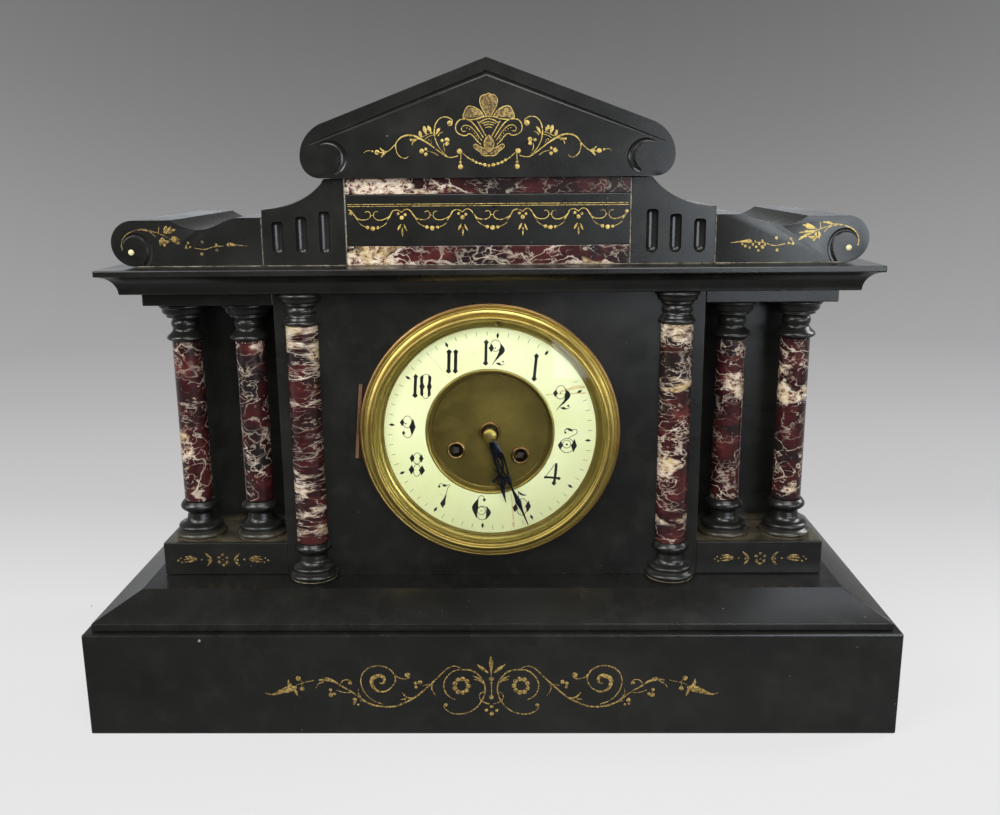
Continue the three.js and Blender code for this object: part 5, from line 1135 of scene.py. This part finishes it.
# One swag of the frieze, measured from the pendant at its left
FRIEZE_LINES = (
    ((0, 20.4, 0.24), (1.2, 21.6, 0.3), (3.3, 22.1, 0.35), (5.3, 21, 0.41), (7, 18.4, 0.35),
     (9, 16.6, 0.35), (12.5, 15.8, 0.35), (15.4, 16.3, 0.3), (17.1, 18, 0.3), (16.7, 20.3, 0.24),
     (15.2, 21, 0.24), (13.8, 20.3, 0.24)),
    ((5.9, 20.4, 0.18), (7.6, 17.8, 0.53), (9.1, 15.3, 0.24)),
    ((9.2, 14.4, 0.18), (11.8, 12.5, 0.24), (15, 11.2, 0.24)),
    ((22.9, 11.3, 0.24), (25.3, 12.4, 0.24), (27.7, 14.1, 0.18)),
    ((37.3, 20.1, 0.24), (35.4, 21.3, 0.3), (33.4, 21.7, 0.35), (31, 20.7, 0.41),
     (29.5, 18.2, 0.35), (27.1, 16.7, 0.35), (23, 15.6, 0.35), (20.1, 16.5, 0.3), (19.1, 18.5, 0.3),
     (19.9, 20.5, 0.24), (22, 20.9, 0.24)),
    ((31, 20.2, 0.18), (29.2, 17.6, 0.65), (27.7, 15.4, 0.24)),
    ((17.1, 18.6, 0.24), (19.1, 18.5, 0.24)),
    ((-0.8, 13.2, 0.18), (-2, 11.2, 0.94), (-2.9, 9.5, 0.3)),
    ((1, 12.9, 0.18), (1.8, 10.9, 0.77), (2.8, 9, 0.3)),
    ((-0.1, 10.9, 0.18), (-0.1, 8, 0.71), (-0.1, 5.8, 0.18)),
)
FRIEZE_DOTS = (
    (15.1, 11.2, 1.06), (18.4, 10.6, 1.42), (21.6, 11, 0.94), (-2.5, 19.3, 0.89), (1.9, 18.8, 0.89),
    (-0.2, 17, 1.24),
)
# Spray of the left scroll block, measured from the middle of the clock
SCROLL_LINES = (
    ((-227.5, 10.1, 0.41), (-227.8, 14.1, 0.41), (-225.3, 18.8, 0.41), (-220.6, 21.7, 0.41),
     (-213.7, 22.6, 0.41), (-209, 21.2, 0.41), (-206.4, 18.5, 0.34)),
    ((-217.8, 22.7, 0.27), (-212.2, 23.2, 0.27), (-208.2, 21.8, 0.27), (-204.2, 20.5, 0.27),
     (-198.9, 18, 0.27), (-195, 15, 0.2)), ((-204.2, 20.5, 0.27), (-203.6, 24.4, 0.27)),
    ((-193.1, 22.9, 0.27), (-196.6, 21.7, 1.77), (-200.1, 20.4, 0.41)),
    ((-203.2, 15.8, 0.27), (-200.5, 15.1, 1.63), (-197, 15.7, 0.41)),
    ((-194.2, 16.3, 0.27), (-192.6, 14.9, 1.22), (-191, 13.6, 0.34)),
    ((-186.3, 14.5, 0.2), (-187.7, 11.5, 0.2), (-185, 11.8, 0.2)),
    ((-182.9, 11.5, 0.27), (-176.2, 10.4, 0.34), (-170.6, 12, 0.34), (-164.4, 12.5, 0.34)),
    ((-162.4, 12.8, 0.68), (-160.6, 13.2, 1.9), (-157.9, 13.1, 0.95), (-153.5, 12.7, 0.41),
     (-149.5, 12.3, 0.2)),
)
SCROLL_DOTS = (
    (-186.3, 14.5, 0.82), (-187.7, 11.5, 0.82), (-185, 11.8, 0.68), (-177.4, 14.9, 0.95),
    (-178.1, 7.6, 0.95), (-168.8, 13.3, 0.82), (-168.7, 9.9, 0.82),
)
# Half of the sprigs of a pedestal, measured from its middle
PEDESTAL_LINES = (
    ((-18.4, 0.5, 0.31), (-23, 1, 0.92), (-27.7, 0.2, 0.25)),
    ((-18.3, 1.1, 0.25), (-22.9, 2.4, 1.02), (-26.8, 2.1, 0.25)),
    ((-18.4, 0, 0.25), (-23.2, -1, 0.92), (-26.8, -1.3, 0.25)),
    ((-7.8, 0.3, 0.31), (-9.9, 2.7, 1.12), (-12.3, 5, 0.31)), ((-7.8, 0, 0.31), (-8.4, 2.7, 0.01)),
    ((-8.1, 0.3, 0.25), (-10.1, 0, 1.02), (-10.9, 0, 0.31)),
    ((-7.8, 0, 0.31), (-9.5, -2.2, 1.12), (-11.2, -4.1, 0.31)),
)
PEDESTAL_DOTS = (
    (-31.4, -0.3, 0.82), (-29.7, 1.4, 0.66), (-28.8, -1.6, 0.82), (-14.8, 0.3, 0.76), (0, 0, 1.12),
    (0.2, 3.6, 1.02), (3.1, 1.7, 1.02), (2.3, -2.1, 1.02), (-0.4, -3.5, 1.02), (-2.9, -1.3, 1.02),
    (-2.8, 1.7, 1.02),
)
RIGHT_SPRAY_LINES = (
    ((201.5, 20, 0.3), (198.3, 22, 0.9), (195.3, 23.8, 0.4)),
    ((200.6, 19.2, 0.3), (196, 18.8, 0.8), (191.2, 18.2, 0.3)),
    ((200.4, 18.6, 0.3), (195.8, 16.6, 0.9), (191.9, 14.8, 0.3)),
    ((201.6, 18.8, 0.3), (201, 15.5, 1), (200.2, 13, 0.5)),
    ((202.8, 19.2, 0.3), (203.8, 16.5, 0.8), (203.6, 14.3, 0.3)),
    ((205.2, 24.5, 0.3), (208.5, 24.2, 0.7), (211.8, 23.1, 0.3)),
)
RIGHT_SPRAY_DOTS = (
    (156.5, 11.4, 0.7), (158.6, 10.2, 0.9), (160.1, 12.6, 0.6), (161.4, 9.2, 0.8), (162.8, 11.2, 1),
    (164.6, 13, 0.6), (165.2, 9.6, 0.8), (167, 11.2, 0.7), (168.6, 13.2, 0.8), (169.2, 9.4, 1),
    (170.4, 11, 0.8), (166.6, 7.4, 0.7),
)
LEFT_SPRAY_LINES = (
    ((-200.6, 20.6, 0.3), (-199.9, 22.8, 1.1), (-198.9, 24.9, 0.5)),
    ((-199.3, 20.9, 0.3), (-197.6, 22.4, 1.1), (-196.2, 24.4, 0.5)),
    ((-201.8, 17.9, 0.3), (-203.2, 15.6, 1.1), (-203.6, 13.1, 0.5)),
    ((-201.2, 17.4, 0.3), (-201.2, 14.8, 1.1), (-200.8, 12.4, 0.5)),
    ((-196.6, 17.2, 0.3), (-194.6, 15.9, 1.1), (-192.1, 14, 0.5)),
    ((-196.2, 18, 0.3), (-193.9, 17.6, 1), (-191.4, 16.4, 0.4)),
)
GILT_RISE, GILT_LIFT = 0.12, 0.02


def gilding(name, rows, dots, face, foot, like, finish=GILT, rise=GILT_RISE):
    """Lines laid on the upright face of a CAD node, from the height foot upwards."""
    piece(name, wires(rows, rise, dots), finish, like,
          at(0, 0, foot) @ out_of_face(face - GILT_LIFT), added=True)


def both_halves(lines, middle):
    """Lines or dots and their mirror image about the upright line at middle."""
    return [row for flip in (-1, 1) for row in placed(lines, middle, flip)]


ON_BASE = (BASE_FRONT, 0, "base_plinth")
ON_PEDIMENT = (PEDIMENT_FRONT, PEDIMENT_FOOT, "pediment")
BASE_MIDDLE, PEDIMENT_MIDDLE, BASKET_MIDDLE = -0.6, 0.6, 1.2


def base_pattern(halves, middle, width, middle_width):
    """The two halves of the base's pattern, the right one drawn a little further out."""
    thin = fitted(halves, width)
    return (placed(thin, BASE_MIDDLE, -1) + placed(fitted(thin, shift=1.9), BASE_MIDDLE)
            + placed(fitted(middle, middle_width, shift=0.9), BASE_MIDDLE))


def pediment_pattern(halves, width):
    """The two halves of the pediment's pattern, the right one shifted most in the middle."""
    return (placed(fitted(halves, width), PEDIMENT_MIDDLE, -1)
            + placed(fitted(halves, width, shift=1.2, far=64), PEDIMENT_MIDDLE))


gilding("gilt_scrolls_of_base", base_pattern(BASE_LINES, BASE_MIDDLE_LINES, 0.68, 0.7),
        base_pattern(BASE_DOTS, BASE_MIDDLE_DOTS, 1.22, 1.3), *ON_BASE)
gilding("gilt_scrolls_of_pediment", pediment_pattern(PEDIMENT_LINES, 0.82),
        pediment_pattern(PEDIMENT_DOTS, 1), *ON_PEDIMENT, BRIGHT_GILT)
gilding("gilt_basket_of_pediment", both_halves(BASKET_LINES, BASKET_MIDDLE),
        both_halves(BASKET_DOTS, BASKET_MIDDLE), *ON_PEDIMENT, BRIGHT_GILT)
gilding("gilt_fill_of_basket", both_halves(BASKET_FILLS, BASKET_MIDDLE), (), *ON_PEDIMENT,
        FAINT_GILT, 0.03)

# The swags are drawn for one pitch and stretched between pendants that stand a little unevenly.
PENDANT_X = (-88.9, -52.8, -15.4, 21.6, 55.8, 91.9)
PENDANT_PITCH, FRIEZE_END, LAST_DOT = 37.3, 86.6, 86
frieze_rows, frieze_dots = [], []
for start, end in zip(PENDANT_X, PENDANT_X[1:]):
    stretch = (end - start) / PENDANT_PITCH
    inside = [[(start + x * stretch, y, r * 0.75) for x, y, r in row] for row in FRIEZE_LINES]
    frieze_rows += [[p for p in row if abs(p[0]) < FRIEZE_END] for row in inside]
    frieze_dots += [(start + x * stretch, y, r) for x, y, r in FRIEZE_DOTS]
frieze_rows = [row for row in frieze_rows if len(row) > 1]
frieze_dots = [d for d in frieze_dots if abs(d[0]) < LAST_DOT]
frieze_dots += [(-84.4, 19.7, 1.0), (85.2, 20.0, 1.0)]
for height in (24.0, 25.2):
    frieze_rows.append([(x, height, 0.17) for x in (-86.3, -43, 0, 43, 86.3)])
gilding("gilt_swags_of_frieze", frieze_rows, frieze_dots, ATTIC_FRONT, FRIEZE_FOOT, "frieze_block",
        BRIGHT_GILT)

gilding("gilt_flowers_of_scroll_right", RIGHT_SPRAY_LINES, RIGHT_SPRAY_DOTS, ATTIC_FRONT,
        ATTIC_FOOT, "scroll_block_right", BRIGHT_GILT)
gilding("gilt_bead_of_garland", (), [(0.9, 6.7, 0.95)], *ON_PEDIMENT, BRIGHT_GILT)
gilding("gilt_leaves_of_scroll_left", LEFT_SPRAY_LINES, (), ATTIC_FRONT, ATTIC_FOOT,
        "scroll_block_left")

SPRIG_WIDEN, SPRIG_MIDDLE, SPRIG_HEIGHT = 0.955, 178, 96.8
for side_name, side in SIDES:
    on_scroll = (ATTIC_FRONT, ATTIC_FOOT, f"scroll_block_{side_name}")
    gilding(f"gilt_spray_of_scroll_{side_name}", placed(fitted(SCROLL_LINES, 0.72), 0, -side),
            placed(SCROLL_DOTS, 0, -side), *on_scroll,
            BRIGHT_GILT if side > 0 else FAINT_GILT)
    gilding(f"boss_of_scroll_{side_name}", (), [(side * 222.2, 8.8, 1.9)], *on_scroll,
            CREAM_BOSS, 0.4)
    middle = side * SPRIG_MIDDLE - 0.5
    gilding(f"gilt_sprigs_of_pedestal_{side_name}",
            both_halves(fitted(PEDESTAL_LINES, 0.75, SPRIG_WIDEN), middle),
            both_halves(fitted(PEDESTAL_DOTS, 0.85, SPRIG_WIDEN), middle),
            PANEL_FRONT, SPRIG_HEIGHT, f"pedestal_{side_name}", FAINT_GILT)


# Plaster in the joints

def joint(start, end, width):
    """Uneven run of filling between two (x, height) points on a face."""
    count = 13
    return [(start[0] + (end[0] - start[0]) * i / (count - 1),
             start[1] + (end[1] - start[1]) * i / (count - 1),
             width * (0.75 + 0.35 * math.sin(2.4 * i) + 0.2 * math.sin(5.1 * i + start[0])))
            for i in range(count)]


attic_joints = [joint((side * 87.65, 0.2), (side * 87.65, 52.4), 0.3) for side in (-1, 1)]
attic_joints += [joint((side * 140.15, 0.2), (side * 140.15, 29), 0.18) for side in (-1, 1)]
attic_joints += [joint((side * x0, 0), (side * x1, 0), 0.22)
                 for side in (-1, 1) for x0, x1 in ((0, 87), (88, 139.6), (140.6, 219))]
gilding("plaster_of_attic_joints", attic_joints, (), ATTIC_FRONT, ATTIC_FOOT, "cornice", PLASTER,
        0.4)
DUST_LIFT, COLUMN_DUST_RADIUS, HALF_COLUMN_DUST_RADIUS = 0.05, 15.3, 15
for side_name, side in SIDES:
    rings = [oval(side * x, COLUMN_Y, COLUMN_DUST_RADIUS, COLUMN_DUST_RADIUS, 0.35)
             for x in COLUMN_X.values()]
    piece(f"dust_round_feet_{side_name}", wires(rings, 0.45), DUST,
          f"pedestal_{side_name}", at(0, 0, PEDESTAL_TOP + DUST_LIFT), added=True)
    bow = [(side * HALF_COLUMN_X + HALF_COLUMN_DUST_RADIUS * math.cos(a),
            PANEL_FRONT + HALF_COLUMN_DUST_RADIUS * math.sin(a), 0.4)
           for a in (-math.pi * i / 10 for i in range(11))]
    piece(f"dust_round_half_foot_{side_name}", wires([bow], 0.6), DUST,
          "base_moulding", at(0, 0, MOULDING_TOP + DUST_LIFT), added=True)
gilding("plaster_specks", (), [(-181, 64.4, 0.9), (-246, 88, 0.4), (230, 79.6, 0.4)], *ON_BASE,
        PLASTER, 0.3)


# Rear ring and door

REAR = -147.3
REAR_HINGE_X, REAR_KNUCKLE, REAR_HINGE_REACH = 81.6, 6.67, 20
REAR_BARREL = REAR - 1.3
rear_ring = dial_turned([(66, REAR), (66, REAR - 1.7), (66.3, REAR - 2), (79.7, REAR - 2),
                         (80, REAR - 1.7), (80, REAR), (66, REAR)])
seats = [box(*sorted((side * 58.9, side * 70)), -4, 4, REAR - 2, REAR) for side in (-1, 1)]
screws = [rod(side * 62.9, 0, 1.6, REAR - 1, REAR + 6) for side in (-1, 1)]
piece("turned_rear_ring", joined(
    rear_ring, *seats, *screws,
    box(76, REAR_HINGE_X, BED - REAR_KNUCKLE, REAR_KNUCKLE - BED, REAR - 1, REAR),
    *knuckles(REAR_HINGE_X, REAR_BARREL, 1.3, (BED - REAR_KNUCKLE, REAR_KNUCKLE - BED)),
    *knuckles(REAR_HINGE_X, REAR_BARREL, 0.5, (-REAR_HINGE_REACH, REAR_HINGE_REACH))),
    BRASS, "rear_ring", OUT_OF_DIAL)

DOOR = REAR - 2.3
rear_door = dial_turned([
    (0, DOOR), (78, DOOR), (78, DOOR - 1), (77.6, DOOR - 1.4), (74.4, DOOR - 1.4),
    (73.8, DOOR - 1), (71, DOOR - 1), (70.2, DOOR - 1.4, 0.1), (0, DOOR - 1.4)])
knob = moved(turned([(0, DOOR - 0.6), (4.2, DOOR - 0.6), (4.4, DOOR - 1.7), (5, DOOR - 2.3),
                     (4.4, DOOR - 2.8), (0, DOOR - 2.8)], 40), at(-70, 0, 0))
door_spans = ((-REAR_HINGE_REACH, -REAR_KNUCKLE), (REAR_KNUCKLE, REAR_HINGE_REACH))
piece("turned_rear_door", joined(
    rear_door, knob, *[box(74, REAR_HINGE_X, a, b, DOOR - 0.7, DOOR) for a, b in door_spans],
    *knuckles(REAR_HINGE_X, REAR_BARREL, 1.3, *door_spans)),
    BRASS, "rear_door", OUT_OF_DIAL)


# CAD nodes that stay in sight take the finish of their slot.

for node in frame["nodes"].values():
    slot_name = node.data.materials[0].name.split(".")[0] if node.data.materials else "slate"
    node.data.materials.clear()
    node.data.materials.append(FINISH_OF_SLOT.get(slot_name, SLATE))


# Stage, camera and light

def backdrop_finish():
    """Grey that glows by itself to the camera and takes the object's shadow from real light. Its
    tone falls with the distance behind the object and the height, and glossy pieces reflect it
    darker towards the front."""
    f = Finish("pale_backdrop")
    parts = f.node("ShaderNodeSeparateXYZ", Vector=f.place)
    reach = f.math("ADD", parts.outputs["Y"], f.math("MULTIPLY", parts.outputs["Z"], 1.2))
    share = f.math("DIVIDE", reach, 3.4)
    greys = ((0.0, 227), (0.03, 222), (0.11, 200), (0.255, 181), (0.39, 170), (0.47, 165),
             (0.63, 152), (0.81, 131), (0.99, 110))
    colour = f.ramp(share, *[(position, tone(grey, grey, grey)) for position, grey in greys])
    rays = f.node("ShaderNodeLightPath").outputs
    seen = f.math("ADD", rays["Is Camera Ray"], rays["Is Transmission Ray"], clamp=True)
    gloss = rays["Is Glossy Ray"]
    room = f.level(parts.outputs["Y"], -0.55, 0.7, 0.1, 1.0)
    dimmed = f.math("SUBTRACT", 1.0, f.math("MULTIPLY", gloss, f.math("SUBTRACT", 1.0, room)))
    glow = f.node("ShaderNodeEmission", Color=colour, Strength=dimmed)
    matt = f.node("ShaderNodeBsdfDiffuse", Color=colour)
    share_of_glow = f.math("ADD", f.math("MULTIPLY", seen, 0.86), gloss, clamp=True)
    f.surface(f.node("ShaderNodeMixShader", i0=share_of_glow, i1=matt.outputs[0],
                     i2=glow.outputs[0]))
    return f.material


def stage():
    """Pale floor that sweeps up all round into a wall."""
    floor, sweep, wall, sweep_points = 1.6, 0.8, 3.0, 16
    curve = [(floor + sweep * math.sin(a), sweep * (1 - math.cos(a)))
             for a in (RIGHT_ANGLE * i / sweep_points for i in range(1, sweep_points + 1))]
    bm = moved(turned([(0, 0), (floor, 0)] + curve + [(floor + sweep, wall)], 96),
               at(0, 0, -0.0002))
    obj = smooth_object("studio_floor", bm, backdrop_finish())
    obj.visible_diffuse = False
    obj.visible_shadow = False


def camera():
    """At the height of the pediment's foot, a little right of the middle, looking down."""
    sensor, focal_share = 36, 1.02357
    place = (0.01596, -0.68685, 0.35050)
    yaw, pitch, roll = -0.01486, 0.23182, -0.00827
    data = bpy.data.cameras.new("camera")
    data.sensor_width = sensor
    data.lens = focal_share * sensor
    data.clip_start = 0.01
    forward = Vector((math.sin(yaw) * math.cos(pitch), math.cos(yaw) * math.cos(pitch),
                      -math.sin(pitch)))
    right = Vector((math.cos(yaw), -math.sin(yaw), 0))
    up = right.cross(forward)
    across = right * math.cos(roll) + up * math.sin(roll)
    upright = up * math.cos(roll) - right * math.sin(roll)
    obj = bpy.data.objects.new("camera", data)
    obj.matrix_world = at(*place) @ Matrix((across, upright, -forward)).transposed().to_4x4()
    bpy.context.scene.collection.objects.link(obj)
    bpy.context.scene.camera = obj


def lamp(name, place, target, size, watts, colour=(1, 1, 1), matt=True, sheen=True):
    """Soft rectangular light that reaches matt surfaces, polished ones or both."""
    data = bpy.data.lights.new(name, "AREA")
    data.shape = "RECTANGLE"
    data.size, data.size_y = size
    data.energy = watts
    data.color = colour
    obj = bpy.data.objects.new(name, data)
    obj.location = place
    obj.rotation_euler = (Vector(target) - Vector(place)).to_track_quat("-Z", "Y").to_euler()
    obj.visible_camera = False
    obj.visible_diffuse = matt
    obj.visible_glossy = sheen
    bpy.context.scene.collection.objects.link(obj)


stage()
camera()
lamp("left_soft_box", (-1.3, -1.2, 1.3), (0, 0, 0.2), (0.9, 0.9), 28)
lamp("front_soft_box", (0.3, -1.35, 1.65), (0, 0, 0.2), (1.2, 0.8), 25)
lamp("low_front_fill", (0, -1.9, 0.7), (0, 0, 0.2), (1.4, 0.6), 18, sheen=False)
lamp("right_soft_box", (1.5, 0.4, 1.1), (0.1, 0, 0.25), (0.5, 0.9), 20)
for name, place, target, size, watts, colour in (
        ("attic", (0.82, -1.25, 0.34), (0.15, 0, 0.3), (1.0, 0.3), 9.5, (0.84, 0.92, 1)),
        ("ledge", (0.72, 0.25, 1.5), (0.22, -0.08, 0.08), (0.5, 0.5), 1.8, (0.82, 0.88, 1)),
        ("top", (-0.3, 1.75, 0.42), (0, 0, 0.3), (2.6, 0.3), 2.8, (0.88, 0.94, 1)),
        ("left_side", (-1.35, -0.5, 0.4), (-0.1, 0, 0.3), (0.4, 0.5), 3.4, (1, 1, 1)),
        ("right_side", (1.35, -0.45, 0.4), (0.1, 0, 0.3), (0.4, 0.5), 2.4, (1, 1, 1))):
    lamp(f"window_in_the_{name}", place, target, size, watts, colour, matt=False)

world = bpy.data.worlds.new("studio_air")
world.use_nodes = True
world.node_tree.nodes["Background"].inputs["Color"].default_value = (1.0, 1.0, 1.0, 1)
world.node_tree.nodes["Background"].inputs["Strength"].default_value = 0.2
bpy.context.scene.world = world
bpy.context.scene.view_settings.view_transform = "Standard"
